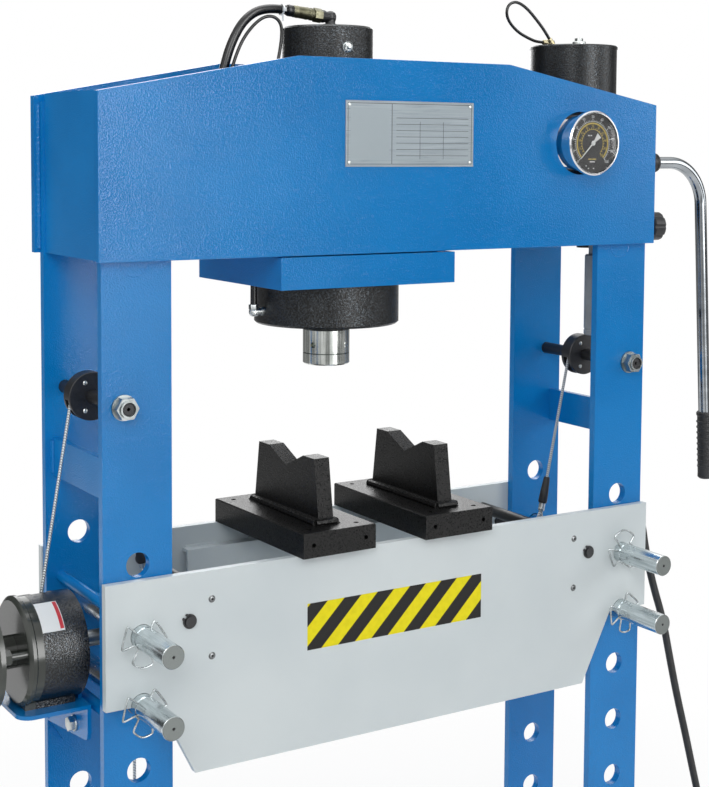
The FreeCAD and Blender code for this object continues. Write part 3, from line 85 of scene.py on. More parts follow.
WINCH_RIM_X = -572.5
SPACER_X = 325
RAM_GROOVE_Z = 1319
DRUM_RADIUS = 27
BARREL_RADIUS = 77
ROPE_GROOVE_RADIUS = 27
PIN_RADIUS = 17
PIN_HEIGHT = {"upper": 952, "lower": 852}
BLOCK_PLATE = (27, 197)
BLOCK_PLATE_DROP = 96
BED_FACE = low("bed_front_plate").y
COLUMN_X = middle("upright_front_right").x
CYLINDER_X = middle("cylinder_body").x
PIN_FRONT_Y = low("pin_upper_left").y
CYLINDER_RADIUS = (high("cylinder_body").x - low("cylinder_body").x) / 2


# ---- camera
def aim_camera():
    """The photograph's view: a little above eye height, turned to the right."""
    place = at(-1.3094, -2.0715, 1.640)
    yaw, pitch, roll = (math.radians(a) for a in (31.5, -4.14, 0.29))
    forward = at(math.sin(yaw) * math.cos(pitch), math.cos(yaw) * math.cos(pitch), math.sin(pitch))
    level = at(math.cos(yaw), -math.sin(yaw), 0)
    upward = level.cross(forward)
    right = level * math.cos(roll) + upward * math.sin(roll)
    up = upward * math.cos(roll) - level * math.sin(roll)
    data = bpy.data.cameras.new("camera")
    data.sensor_width = 36
    data.lens = 69.21
    data.shift_x = 0.0166
    data.shift_y = -0.1685
    data.clip_end = 60
    camera = placed("camera", data)
    turn = Matrix((right, up, -forward)).transposed()
    camera.matrix_world = Matrix.Translation(place) @ turn.to_4x4()
    bpy.context.scene.camera = camera


# ---- shader language
class Value:
    """A socket of a node tree that takes part in ordinary expressions."""

    def __init__(self, tree, socket):
        self.tree = tree
        self.socket = socket

    def maths(self, operation, *values):
        return self.tree.node("ShaderNodeMath", {"operation": operation}, dict(enumerate(values)))

    def __add__(self, other):
        return self.maths("ADD", self, other)

    def __sub__(self, other):
        return self.maths("SUBTRACT", self, other)

    def __mul__(self, other):
        return self.maths("MULTIPLY", self, other)

    def __truediv__(self, other):
        return self.maths("DIVIDE", self, other)

    def __pow__(self, other):
        return self.maths("POWER", self, other)

    def fraction(self):
        return self.maths("FRACT", self)

    def sine(self):
        return self.maths("SINE", self)

    def size(self):
        return self.maths("ABSOLUTE", self)

    def most(self, other):
        return self.maths("MAXIMUM", self, other)


class Tree:
    """A node tree, with the patterns that finishes and the studio are put together from."""

    def __init__(self, tree):
        self.tree = tree

    def node(self, kind, settings=None, inputs=None, output=0):
        made = self.tree.nodes.new(kind)
        for name, value in (settings or {}).items():
            if name == "stops":
                ramp = made.color_ramp
                while len(ramp.elements) < len(value):
                    ramp.elements.new(0.5)
                for element, (place, colour) in zip(ramp.elements, value):
                    element.position = place
                    element.color = rgba(colour)
            else:
                setattr(made, name, value)
        for socket, value in (inputs or {}).items():
            if isinstance(value, Value):
                self.tree.links.new(value.socket, made.inputs[socket])
            else:
                made.inputs[socket].default_value = value
        return Value(self, made.outputs[output])

    def place(self, scale=(1, 1, 1)):
        """Object coordinates in metres, stretched."""
        spot = self.node("ShaderNodeTexCoord", output="Object")
        return self.node("ShaderNodeMapping", inputs={"Vector": spot, "Scale": scale})

    def axes(self, place=None):
        parts = self.node("ShaderNodeSeparateXYZ", inputs={0: place or self.place()}).socket.node
        return [Value(self, parts.outputs[i]) for i in range(3)]

    def noise(self, scale, detail, place=None):
        return self.node("ShaderNodeTexNoise",
            inputs={"Vector": place or self.place(), "Scale": scale, "Detail": detail})

    def cells(self, scale):
        return self.node("ShaderNodeTexVoronoi", inputs={"Vector": self.place(), "Scale": scale})

    def dimples(self, scale):
        """Cells whose edges run into each other."""
        return self.node("ShaderNodeTexVoronoi", {"feature": "SMOOTH_F1"},
            {"Vector": self.place(), "Scale": scale, "Smoothness": 0.4})

    def between(self, value, low_end, high_end, low_out=0.0, high_out=1.0):
        return self.node("ShaderNodeMapRange", {"clamp": True},
            {"Value": value, "From Min": low_end, "From Max": high_end, "To Min": low_out,
            "To Max": high_out})

    def blend(self, factor, first, second):
        """Colours or colour sockets, mixed by a factor."""
        inputs = {"Factor": factor}
        for socket, value in ((6, first), (7, second)):
            inputs[socket] = value if isinstance(value, Value) else rgba(value)
        return self.node("ShaderNodeMix", {"data_type": "RGBA"}, inputs, output=2)

    def seen_by(self, *kinds):
        """One where the ray is of one of these kinds."""
        rays = self.node("ShaderNodeLightPath").socket.node
        seen = Value(self, rays.outputs["Is " + kinds[0] + " Ray"])
        for kind in kinds[1:]:
            seen = seen.most(Value(self, rays.outputs["Is " + kind + " Ray"]))
        return seen


class Finish(Tree):
    """A material that is put together from patterns on the object's own coordinates."""

    def __init__(self, name, colour, roughness=0.5, metallic=0.0, **extra):
        self.material = bpy.data.materials.new(name)
        self.material.use_nodes = True
        super().__init__(self.material.node_tree)
        self.shader = self.tree.nodes["Principled BSDF"]
        self.shader.inputs["Base Color"].default_value = rgba(colour)
        self.shader.inputs["Roughness"].default_value = roughness
        self.shader.inputs["Metallic"].default_value = metallic
        for socket, value in extra.items():
            self.shader.inputs[socket.replace("_", " ")].default_value = value

    def bump(self, height, distance, strength=1.0):
        normal = self.node("ShaderNodeBump", inputs={"Height": height, "Distance": distance,
            "Strength": strength})
        self.set(Normal=normal)

    def set(self, **links):
        for socket, value in links.items():
            self.tree.links.new(value.socket, self.shader.inputs[socket.replace("_", " ")])

    def cover(self, pattern, low_end, high_end, first, second, wear, glossy, dull):
        """Two tones that follow one pattern, and a roughness that follows another."""
        self.set(Base_Color=self.blend(self.between(pattern, low_end, high_end), first, second),
            Roughness=self.between(wear, 0.3, 0.7, glossy, dull))

    def flecks(self):
        """The metal flecks in hammered enamel."""
        return self.between(self.noise(FLECKS, 0.5), 0.48, 0.64)


def rgba(colour):
    """A written sRGB colour, '#RRGGBB', as linear values."""
    if isinstance(colour, (int, float)):
        return (colour, colour, colour, 1)
    parts = [int(colour[i:i + 2], 16) / 255 for i in (1, 3, 5)]
    return tuple(c / 12.92 if c < 0.04045 else ((c + 0.055) / 1.055) ** 2.4 for c in parts) + (1,)


# ---- finishes
def blue_enamel(name="blue_enamel", depth=0.8):
    """Enamel with a fine orange peel that breaks up what it mirrors."""
    f = Finish(name, "#0B7BC3", 0.18, Specular_IOR_Level=0.36)
    peel = f.dimples(470)
    broad = f.noise(6, 3.0)
    tone = f.blend(f.between(broad, 0.35, 0.65), "#0778BF", "#0F80C8")
    # Painted shade: the base colour darkens towards a deeper blue in the peel's pits, where the bump is
    # lowest.
    f.set(Base_Color=f.blend(f.between(peel, 0.45, 0.25) * 0.25, tone, "#0469A9"))
    f.set(Roughness=f.between(broad, 0.3, 0.7, 0.09, 0.14))
    f.bump(peel, 0.0003, depth)
    return f.material


def grey_enamel(name="grey_enamel", black_from=0.0):
    """Smooth powder coat of the bed; black where the ledges' node holds the spacers, from a
    distance either side of the middle."""
    f = Finish(name, "#CED5D7", 0.38)
    fine = f.noise(900, 1.0)
    broad = f.noise(5, 3.0)
    coat = f.blend(f.between(broad, 0.35, 0.65), "#CAD2D4", "#D2D9DA")
    if black_from:
        x = f.axes()[0]
        coat = f.blend(f.between(x.size(), black_from - 0.0005, black_from + 0.0005), coat, "#131415")
    f.set(Base_Color=coat, Roughness=f.between(broad, 0.3, 0.7, 0.34, 0.44))
    f.bump(fine, 0.0001, 0.35)
    return f.material


def hammered_black(name="hammered_black", colour="#050606", depth=0.00042, fleck_tone="#43474A",
        dull=0.22, shine=0.36):
    """Hammered enamel: small round dimples with metal flecks that catch a highlight."""
    f = Finish(name, colour, dull, Specular_IOR_Level=shine)
    dimple = f.dimples(DIMPLES)
    fleck = f.flecks()
    f.set(Base_Color=f.blend(fleck, colour, fleck_tone), Metallic=fleck * 0.85)
    f.set(Roughness=f.between(fleck, 0, 1, dull * 1.2, dull * 0.8))
    f.bump(dimple, depth, 1.0)
    return f.material


def winch_black():
    """The winch's casing: fine hammered enamel on the barrel, smooth gloss on its face and rim, whose
    grey-green tone is a painted reflection.
    """
    f = Finish("winch_black", "#0A0B0C", 0.16, Specular_IOR_Level=0.5)
    x = f.axes()[0]
    barrel = f.between(x, WINCH_RIM_X * MM - 0.0005, WINCH_RIM_X * MM + 0.0005)
    dimple = f.dimples(DIMPLES)
    haze = f.noise(9, 3.0)
    fleck = f.flecks() * barrel
    # Painted reflection: off the barrel the colour is a lighter grey-green, varied by the haze noise, where
    # the barrel stays near black.
    smooth = f.blend(f.between(haze, 0.35, 0.65), "#30332F", "#464A45")
    f.set(Base_Color=f.blend(fleck, f.blend(barrel, smooth, "#060707"), "#4A4E51"), Metallic=fleck * 0.85,
        Roughness=f.between(haze, 0.3, 0.7, 0.1, 0.2).most(barrel * 0.2))
    f.bump(dimple * barrel, 0.00042, 1.0)
    return f.material


def gloss_black():
    """Smooth gloss enamel with a faint haze."""
    f = Finish("gloss_black", "#1A1C1B", 0.14, Specular_IOR_Level=0.6)
    haze = f.noise(14, 3.0)
    f.cover(haze, 0.35, 0.65, "#141615", "#2C2F2D", haze, 0.1, 0.22)
    f.bump(f.noise(60, 1.0), 0.00006, 0.5)
    return f.material


def satin_black():
    f = Finish("satin_black", "#1D1E20", 0.42)
    fine = f.noise(500, 3.0)
    f.cover(fine, 0.3, 0.7, "#17181A", "#26272A", fine, 0.34, 0.52)
    f.bump(fine, 0.0001, 0.4)
    return f.material


def turned_metal(name, colour, dark, roughness, axis, lines=2600, metallic=1.0):
    """Bare metal with the fine rings that turning leaves along its axis."""
    f = Finish(name, colour, roughness, metallic)
    stretch = [8, 8, 8]
    stretch["XYZ".index(axis)] = lines
    rings = f.noise(1.0, 2.0, place=f.place(scale=stretch))
    smudge = f.noise(30, 3.0)
    f.cover(rings + smudge * 0.5, 0.5, 1.0, dark, colour, rings * 0.6 + smudge * 0.4, roughness * 0.7,
        roughness * 1.35)
    f.bump(rings, 0.000005, 0.5)
    return f.material


def drawn_ram():
    """Polished steel with long marks down its length, and smudges in its roughness."""
    f = Finish("polished_ram", "#D5D8D4", 0.2, 1.0)
    marks = f.noise(1.0, 3.0, place=f.place(scale=(210, 210, 5)))
    smudge = f.noise(40, 3.0)
    # Painted shade: a dark grey line in the colour where the ram's groove lies.
    groove = f.between((f.axes()[2] - RAM_GROOVE_Z * MM).size(), 0.0011, 0.0006)
    steel = f.blend(f.between(marks, 0.35, 0.62), "#A5AAA6", "#E6E9E5")
    f.set(Base_Color=f.blend(groove, steel, "#6B716E"), Roughness=f.between(smudge, 0.3, 0.7, 0.14, 0.27))
    f.bump(marks, 0.00003, 0.5)
    return f.material


def zinc_pin():
    """Zinc-plated bar: a drawn surface with scuffs, and a plainer turned face at its front."""
    f = Finish("zinc_pin", "#D3DADC", 0.2, 1.0)
    x, y, z = f.axes()
    drawn = f.noise(1.0, 3.0, place=f.place(scale=(420, 26, 420)))
    scuff = f.noise(55, 4.0)
    barrel = f.blend(f.between(drawn, 0.35, 0.65), "#BFC7C9", "#E0E6E8")
    barrel = f.blend(f.between(scuff, 0.6, 0.72) * 0.6, barrel, "#8F979A")
    upper = middle("pin_upper_left").z * MM
    lower = middle("pin_lower_left").z * MM
    across = x.size() - COLUMN_X * MM
    along = (z - (upper + lower) / 2).size() - (upper - lower) / 2
    rings = ((across * across + along * along) ** 0.5 * 5200).sine() * 0.5 + 0.5
    face = f.between(y, PIN_FRONT_Y * MM + 0.0012, PIN_FRONT_Y * MM + 0.0006)
    f.set(Base_Color=f.blend(face, barrel, f.blend(rings, "#6A6F6E", "#868B89")),
        Roughness=f.between(scuff, 0.3, 0.7, 0.14, 0.3).most(face * 0.45))
    f.bump(drawn, 0.000012, 0.4)
    return f.material


def bright_chrome():
    f = Finish("bright_chrome", "#DDE0E2", 0.08, 1.0)
    haze = f.noise(26, 3.0)
    f.cover(haze, 0.3, 0.7, "#D2D6D8", "#E4E6E8", haze, 0.05, 0.13)
    return f.material


def plated(name, colour, tint, roughness=0.3):
    """Zinc plating with a faint spangle and a passivated tint in patches."""
    f = Finish(name, colour, roughness, 1.0)
    spangle = f.cells(420)
    patch = f.noise(60, 3.0)
    f.set(Base_Color=f.blend(f.between(patch, 0.42, 0.62), colour, tint),
        Roughness=f.between(spangle, 0.0, 0.8, roughness * 0.8, roughness * 1.3))
    f.bump(patch, 0.00008, 0.4)
    return f.material


def laid_rope():
    """Galvanised strands laid round each other: slanting ridges, with painted shade in the hollows between
    them.
    """
    f = Finish("laid_rope", "#C9CDCE", 0.36, 0.7)
    x, y, z = f.axes()
    ridge = ((x * 0.8 + y * 0.6 + z) * (2 * math.pi / 0.0042)).sine() * 0.5 + 0.5
    wires = f.noise(1500, 1.0)
    # Painted shade: the colour darkens in the hollows between the strands, following the ridge pattern.
    f.cover(ridge + wires * 0.3, 0.25, 0.6, "#8A8F90", "#D3D7D8", wires, 0.3, 0.45)
    f.bump(ridge, 0.0006, 0.9)
    return f.material


def rubber(name="hose_rubber", colour="#1B1C1D", shine=0.5, dust_tone="#2A2B2D"):
    f = Finish(name, colour, shine)
    cloth = f.noise(1400, 2.0)
    dust = f.noise(40, 4.0)
    f.cover(dust, 0.45, 0.75, colour, dust_tone, dust, shine * 0.8, shine * 1.2)
    f.bump(cloth, 0.0001, 0.4)
    return f.material


def enamel(name, colour, second, roughness=0.35):
    """A plain machine enamel with slight unevenness."""
    f = Finish(name, colour, roughness)
    broad = f.noise(40, 3.0)
    f.cover(broad, 0.35, 0.65, colour, second, broad, roughness * 0.8, roughness * 1.25)
    f.bump(f.noise(700, 1.0), 0.00006, 0.4)
    return f.material


def brushed_sheet():
    """Aluminium sheet brushed along its length."""
    f = Finish("brushed_sheet", "#A9B4BB", 0.36, 0.5)
    streak = f.noise(1.0, 3.0, place=f.place(scale=(14, 900, 2600)))
    f.cover(streak, 0.3, 0.7, "#8A959B", "#A0A9AE", streak, 0.26, 0.44)
    f.bump(streak, 0.00002, 0.5)
    return f.material


def hazard_stripes():
    """Black and yellow diagonal bars on foil."""
    pitch, start = 0.0605, -0.0969
    f = Finish("hazard_stripes", "#EBDD10", 0.5, Specular_IOR_Level=0.25)
    x, y, z = f.axes()
    phase = (x - z + 0.957 - start) / pitch
    bar = f.between((phase.fraction() - 0.5).size(), 0.242, 0.254)
    worn = f.noise(90, 4.0)
    yellow = f.blend(f.between(worn, 0.4, 0.7), "#EEDF12", "#E4D60E")
    f.set(Base_Color=f.blend(bar, yellow, "#171716"), Roughness=f.between(worn, 0.3, 0.7, 0.42, 0.55))
    return f.material


def clear_lens():
    return Finish("clear_lens", "#FFFFFF", 0.02, Transmission_Weight=1.0, IOR=1.45).material


def plain(name, colour, roughness=0.4, metallic=0.0):
    f = Finish(name, colour, roughness, metallic)
    mottle = f.noise(120, 3.0)
    f.set(Roughness=f.between(mottle, 0.3, 0.7, roughness * 0.85, roughness * 1.15))
    return f.material


FINISH = {
    "blue": blue_enamel(),
    "grey": grey_enamel(),
    "hammered": hammered_black(),
    "block": hammered_black("block_enamel", "#0C0B0B", 0.00026, "#232424", 0.34, 0.3),
    "ledge": grey_enamel("ledge_enamel", SPACER_X * MM),
    "tank": hammered_black("tank_enamel", "#060708", 0.00026, "#393D40"),
    "winch": winch_black(),
    "gloss": gloss_black(),
    "nut": plated("nut_zinc", "#A3A8A8", "#8C9292", 0.3),
    "clip": plated("clip_wire", "#B9BFC0", "#8F9596", 0.24),
    "bar": turned_metal("plated_bar", "#AEB3B7", "#8F9498", 0.1, "Z", 60),
    "satin": satin_black(),
    "pin": zinc_pin(),
    "ram": drawn_ram(),
    "axle": turned_metal("turned_axle", "#8E9192", "#6F7273", 0.35, "Y"),
    "drum": turned_metal("turned_drum", "#A5A8A9", "#7F8283", 0.35, "X"),
    "chrome": bright_chrome(),
    "zinc": plated("bright_zinc", "#C8CCCB", "#B4B9B8"),
    "yellow_zinc": plated("yellow_zinc", "#7A7865", "#5A5846", 0.38),
    "rope": laid_rope(),
    "hose": rubber(),
    "gloss_hose": rubber("gloss_hose", "#08090A", 0.26, "#141617"),
    "grip": rubber("grip_rubber", "#17181A", 0.55),
    "motor": enamel("motor_enamel", "#8B9196", "#7E8489"),
    "plate": brushed_sheet(),
    "stripe": hazard_stripes(),
    "dial": plain("dial_black", "#17181A", 0.5),
    "white": plain("white_print", "#E9ECEC", 0.45),
    "yellow": plain("yellow_print", "#C9B24A", 0.45),
    "red": plain("red_print", "#C2303A", 0.4),
    "ink": plain("dark_print", "#3D4347", 0.45),
    "brass": turned_metal("turned_brass", "#C6A458", "#A6843C", 0.28, "X"),
    # Painted shade: a near-black that fills the pins' centre holes and the ledge screws' sockets.
    "dark": plain("deep_hole", "#0B0B0C", 0.7),
    "pale_sheet": plain("pale_sheet", "#949EA3", 0.4, 0.3),
    "pale_brass": plated("pale_brass", "#CFC6A6", "#B9AC80", 0.3),
    "lens": clear_lens(),
    "weld": blue_enamel("painted_weld", 0.9),
}


def dress(node, finish):
    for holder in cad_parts[node].material_slots:
        holder.material = FINISH[finish]


def round_plate_edges():
    """Takes the sharpness off the plates' edges, so that they catch a line of light."""
    for node in ("crosshead_front_plate", "carriage_block"):
        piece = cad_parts[node]
        weld = piece.modifiers.new("weld", "WELD")
        weld.merge_threshold = 0.00001
        edge = piece.modifiers.new("edge", "BEVEL")
        edge.width = 0.0009
        edge.segments = 2
        edge.limit_method = "ANGLE"
        edge.angle_limit = math.radians(40)
        edge.harden_normals = True


UPRIGHTS = ("upright_front_left", "upright_rear_left", "upright_front_right", "upright_rear_right")
FINISH_OF = {
    "blue": (*UPRIGHTS, "column_ties", "base_foot_left", "base_foot_right", "base_crossbar",
             "crosshead_front_plate", "crosshead_rear_plate", "crosshead_end_plates", "carriage_block",
             "winch_bracket"),
    "grey": ("bed_front_plate", "bed_rear_plate"),
    "hammered": ("cylinder_body", "cylinder_flange", "pump_body"),
    "block": ("v_block_left", "v_block_right"),
    "ledge": ("bed_ledges",),
    "tank": ("oil_tank", "tank_lid"),
    "winch": ("winch_casing",),
    "gloss": ("winch_crank",),
    "satin": ("handle_socket", "rope_pulley_left", "rope_pulley_right", "pulley_bolts",
              "bed_axles", "release_knob"),
    "pin": ("pin_upper_left", "pin_lower_left", "pin_upper_right", "pin_lower_right"),
    "ram": ("ram",),
    "axle": ("carriage_roller_left", "carriage_roller_right", "base_pulley_left", "base_pulley_right"),
    "drum": ("winch_drum",),
    "bar": ("handle_tube",),
    "chrome": ("gauge_case",),
    "nut": ("pulley_nuts",),
    "zinc": ("cylinder_fittings", "gauge_pipe"),
    "rope": ("rope_left", "rope_right"),
    "hose": ("air_hose",),
    "gloss_hose": ("hydraulic_hose", "return_hose", "breather_hose"),
    "grip": ("handle_grip", "crank_grip"),
    "motor": ("air_motor",),
    "plate": ("rating_plate",),
    "dial": ("gauge_dial",),
    "white": ("gauge_pointer",),
    "brass": ("air_coupling",),
    "lens": ("gauge_glass",),
}


# ---- piece helpers
def finished(name, bm, finish, body="frame", smooth=True):
    """A mesh in metres from a bmesh in millimetres, with its finish, that rides on a body."""
    bmesh.ops.scale(bm, vec=(MM, MM, MM), verts=bm.verts)
    bmesh.ops.remove_doubles(bm, verts=bm.verts, dist=1e-6)
    bmesh.ops.recalc_face_normals(bm, faces=bm.faces)
    mesh = bpy.data.meshes.new(name)
    bm.to_mesh(mesh)
    bm.free()
    mesh.materials.append(FINISH[finish])
    for face in mesh.polygons:
        face.use_smooth = smooth
    if smooth:
        mesh.set_sharp_from_angle(angle=math.radians(32))
    piece = placed(name, mesh)
    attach(piece, body)
    return piece


def facing(direction):
    return direction.to_track_quat("Z", "Y").to_matrix().to_4x4()


def spin_profile(bm, profile, place, steps):
    """Spins a profile of (distance along the axis, radius) about the axis. A profile that ends at the
    axis is capped there, and one that keeps off it closes on itself, as a ring."""
    before = set(bm.verts)
    first, last = profile[0], profile[-1]
    if first[1] and last[1]:
        profile = profile + [first]
    elif last[1]:
        profile = profile + [(last[0], 0)]
    points = [bm.verts.new((radius, 0, along)) for along, radius in profile]
    edges = [bm.edges.new(pair) for pair in zip(points, points[1:])]
    bmesh.ops.spin(bm, geom=points + edges, axis=(0, 0, 1), cent=(0, 0, 0), steps=steps,
        angle=2 * math.pi, use_merge=True)
    bmesh.ops.transform(bm, matrix=place, verts=[v for v in bm.verts if v not in before])


def add_turned(bm, profile, base, direction, steps=32):
    """A turned shape that stands on its base and points in a direction."""
    spin_profile(bm, profile, Matrix.Translation(base) @ facing(direction), steps)


def turned_piece(name, profile, base, direction, steps, finish, body="frame"):
    bm = bmesh.new()
    add_turned(bm, profile, base, direction, steps)
    return finished(name, bm, finish, body)


def add_strip(bm, corners, axis, centre, steps, turn):
    """A bent strip with closed ends: a rectangle that is turned about an axis."""
    points = [bm.verts.new(corner) for corner in corners]
    end = bm.faces.new(points)
    bmesh.ops.spin(bm, geom=[*points, *end.edges, end], axis=axis, cent=centre, steps=steps, angle=turn)


def add_block(bm, corner_a, corner_b, bevel, segments=2):
    lower = Vector(map(min, corner_a, corner_b))
    upper = Vector(map(max, corner_a, corner_b))
    size = upper - lower
    place = Matrix.Translation((lower + upper) / 2) @ Matrix.Diagonal((*size, 1))
    made = bmesh.ops.create_cube(bm, size=1, matrix=place)
    edges = list({e for v in made["verts"] for e in v.link_edges})
    bmesh.ops.bevel(bm, geom=edges, offset=bevel, segments=segments, profile=0.5, affect="EDGES", material=-1)


def hose_piece(name, points, radius, finish, steps=4):
    """A round hose that runs close to given points, as a NURBS curve with thickness."""
    data = bpy.data.curves.new(name, "CURVE")
    data.dimensions = "3D"
    data.resolution_u = 12
    spline = data.splines.new("NURBS")
    spline.points.add(len(points) - 1)
    for control, point in zip(spline.points, points):
        control.co = (*(Vector(point) * MM), 1)
    spline.order_u = 3
    spline.use_endpoint_u = True
    data.bevel_depth = radius * MM
    data.bevel_resolution = steps
    data.use_fill_caps = True
    data.materials.append(FINISH[finish])
    return placed(name, data)


def as_mesh(piece):
    """The same piece as a mesh with smooth faces."""
    depsgraph = bpy.context.evaluated_depsgraph_get()
    mesh = bpy.data.meshes.new_from_object(piece.evaluated_get(depsgraph))
    mesh.name = piece.name
    for face in mesh.polygons:
        face.use_smooth = True
    made = placed(piece.name + "_mesh", mesh)
    bpy.data.objects.remove(piece)
    return made


# ---- hoses
AIR_HOSE_POINTS = (
    (449.5, -58, 1294), (449.5, -58, 1225), (456, -58, 1160), (482, -58, 1098), (526, -57, 1047),
    (563, -57, 987), (577, -57, 915), (597, -57, 850), (622, -57, 785), (641, -57, 710), (661, -57, 635),
    (684, -57, 560), (704, -57, 490), (724, -56, 425), (742, -55, 352), (755, -53, 275), (763, -50, 195),
    (770, -42, 118), (778, -14, 42), (783, 50, 7), (770, 135, 7), (738, 215, 7), (715, 285, 7))

PRESSURE_HOSE_POINTS = (
    (-140.6, 0, 1858.8), (-177.4, 0, 1862.4), (-215, 0, 1844), (-239, 0, 1806), (-252, 2, 1762),
    (-262, 8, 1706), (-258, 28, 1652), (-230, 62, 1618), (-180, 88, 1606), (-110, 95, 1602), (-20, 95, 1604),
    (75, 95, 1606), (165, 95, 1605), (262, 94, 1602), (345.8, 80.3, 1598), (405.3, 43.4, 1598))

RETURN_HOSE_POINTS = (
    (-200, 0, 1434.5), (-200, 0, 1482), (-204, 0, 1536), (-197, 1, 1598), (-179, 2, 1658), (-166, 1, 1718),
    (-160, 0, 1768), (-151, 0, 1812), (-151, 0, 1838), (-165, 3, 1850), (-186, 5, 1845), (-212, 5, 1819),
    (-229, 5, 1786), (-241, 7, 1744), (-247, 16, 1702), (-242, 34, 1664), (-220, 60, 1636), (-182, 80, 1625),
    (-130, 85, 1623), (-60, 84, 1625), (15, 84, 1624), (90, 84, 1626), (165, 83, 1624), (238, 80, 1626),
    (300, 71, 1628), (352, 52, 1632), (402.5, 33.1, 1632))

BREATHER_POINTS = (
    (391, 8, 1833), (379, 8, 1849), (361, 9, 1868), (338, 10, 1889), (317, 12, 1899), (302, 14, 1893),
    (298, 15, 1878), (306, 17, 1863), (328, 20, 1847), (356, 23, 1837), (376, 26, 1832.5), (394, 26, 1832.5))


def make_hoses():
    air = hose_piece("air_hose_line", AIR_HOSE_POINTS, 6.8, "hose")
    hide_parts("air_hose")
    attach(air, "frame")
    start = Vector(AIR_HOSE_POINTS[0])
    collar = [(0, 6.8), (0, 10.5), (4, 10.8), (30, 8.4), (36, 7.4), (36, 6.9)]
    sleeve = turned_piece("air_hose_relief", collar, start, -ALONG_Z, 24, "grip")
    for name, points, radius in (("hydraulic_hose", PRESSURE_HOSE_POINTS, 7.2),
            ("return_hose", RETURN_HOSE_POINTS, 2.6)):
        piece = as_mesh(hose_piece(name + "_line", points, radius, "gloss_hose"))
        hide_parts(name)
        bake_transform(piece)
    loop = hose_piece("breather_loop", BREATHER_POINTS, 2.6, "gloss_hose")
    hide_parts("breather_hose")
    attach(loop, "frame")


# ---- small shapes
def add_hexagon(bm, centre, direction, across_flats, length, crown=0.8):
    """A hexagon head with its outer corners turned off."""
    radius = across_flats / math.sqrt(3)
    made = bmesh.ops.create_cone(bm, cap_ends=True, segments=6, radius1=radius, radius2=radius,
        depth=length, matrix=Matrix.Translation(centre + direction * (length / 2)) @ facing(direction))
    top = [e for e in {e for v in made["verts"] for e in v.link_edges}
        if all((v.co - centre).dot(direction) > length * 0.99 for v in e.verts)]
    bmesh.ops.bevel(bm, geom=top, offset=crown, segments=2, profile=0.5, affect="EDGES", material=-1)


def add_bead(bm, start, end, radius, ripple=2.6):
    """A painted weld bead: a rod with the ripples that the torch leaves, half sunk in its corner."""
    run = end - start
    steps = max(int(run.length / ripple), 4)
    profile = [(0, 0)]
    for i in range(steps + 1):
        swell = 1 + 0.13 * math.sin(i * 2.1) + 0.06 * math.sin(i * 0.37)
        profile.append((run.length * i / steps, radius * swell))
    profile.append((run.length, 0))
    add_turned(bm, profile, start, run.normalized(), 8)


def add_number(bm, text, size, place):
    """A number of flat print, lying in the front plane round its own middle."""
    data = bpy.data.curves.new("number", "FONT")
    data.body = text
    data.size = size
    data.align_x = "CENTER"
    data.align_y = "CENTER"
    data.extrude = 0.05
    holder = placed("number", data)
    depsgraph = bpy.context.evaluated_depsgraph_get()
    mesh = bpy.data.meshes.new_from_object(holder.evaluated_get(depsgraph))
    bpy.data.objects.remove(holder)
    mesh.transform(Matrix.Translation(place) @ Matrix.Rotation(math.radians(90), 4, "X"))
    bm.from_mesh(mesh)
    bpy.data.meshes.remove(mesh)


def add_flat(bm, centre, width, height, turn=0):
    """A thin bar of print facing the front, turned in its plane."""
    place = Matrix.Translation(centre) @ Matrix.Rotation(turn, 4, "Y")
    bmesh.ops.create_cube(bm, size=1, matrix=place @ Matrix.Diagonal((width, PRINT_DEPTH, height, 1)))


def add_arc(bm, centre, inner, outer, first, last):
    """A flat printed arc facing the front; angles are clockwise from the top, in degrees."""
    a, b = math.radians(first), math.radians(last)
    section = ((inner, 0), (outer, 0), (outer, -PRINT_DEPTH), (inner, -PRINT_DEPTH))
    corners = [centre + at(r * math.sin(a), y, r * math.cos(a)) for r, y in section]
    add_strip(bm, corners, ALONG_Y, centre, 48, b - a)


# ---- crosshead
def make_rating_plate_print():
    """The plate's frame, its ruled columns and blank rows, and four rivets."""
    lower, upper = low("rating_plate"), high("rating_plate")
    face = lower.y - 0.05
    centre = middle("rating_plate")
    wide, tall = upper.x - lower.x, upper.z - lower.z
    lines = bmesh.new()
    for side in (-1, 1):
        add_flat(lines, at(centre.x, face, centre.z + side * (tall / 2 - 4)), wide - 8, 0.9)
        add_flat(lines, at(centre.x + side * (wide / 2 - 4), face, centre.z), 0.9, tall - 8)
    divider = lower.x + 83
    add_flat(lines, at(divider, face, centre.z), 1.1, tall - 8)
    right = upper.x - 10
    for i in range(7):
        row = upper.z - 25.5 - i * 9.6
        start = divider + 8
        add_flat(lines, at((start + right) / 2, face, row), right - start, 0.7)
    for x in (divider + 52, divider + 96):
        add_flat(lines, at(x, face, lower.z + 40.2), 0.7, 57.6)
    finished("rating_plate_rules", lines, "ink", smooth=False)
    panel = bmesh.new()
    add_block(panel, at(lower.x + 8.5, face - 0.1, lower.z + 12),
        at(divider - 4.5, lower.y + 0.3, upper.z - 12), 0.05, 1)
    finished("rating_plate_blank_panel", panel, "pale_sheet", smooth=False)
    rivets = bmesh.new()
    for sx in (-1, 1):
        for sz in (-1, 1):
            spot = at(centre.x + sx * (wide / 2 - 6.5), lower.y, centre.z + sz * (tall / 2 - 6.5))
            add_turned(rivets, [(-0.2, 0), (-0.2, 2.7), (0.4, 2.6), (1, 1.7), (1.2, 0)], spot, -ALONG_Y, 16)
    finished("rating_plate_rivets", rivets, "zinc")


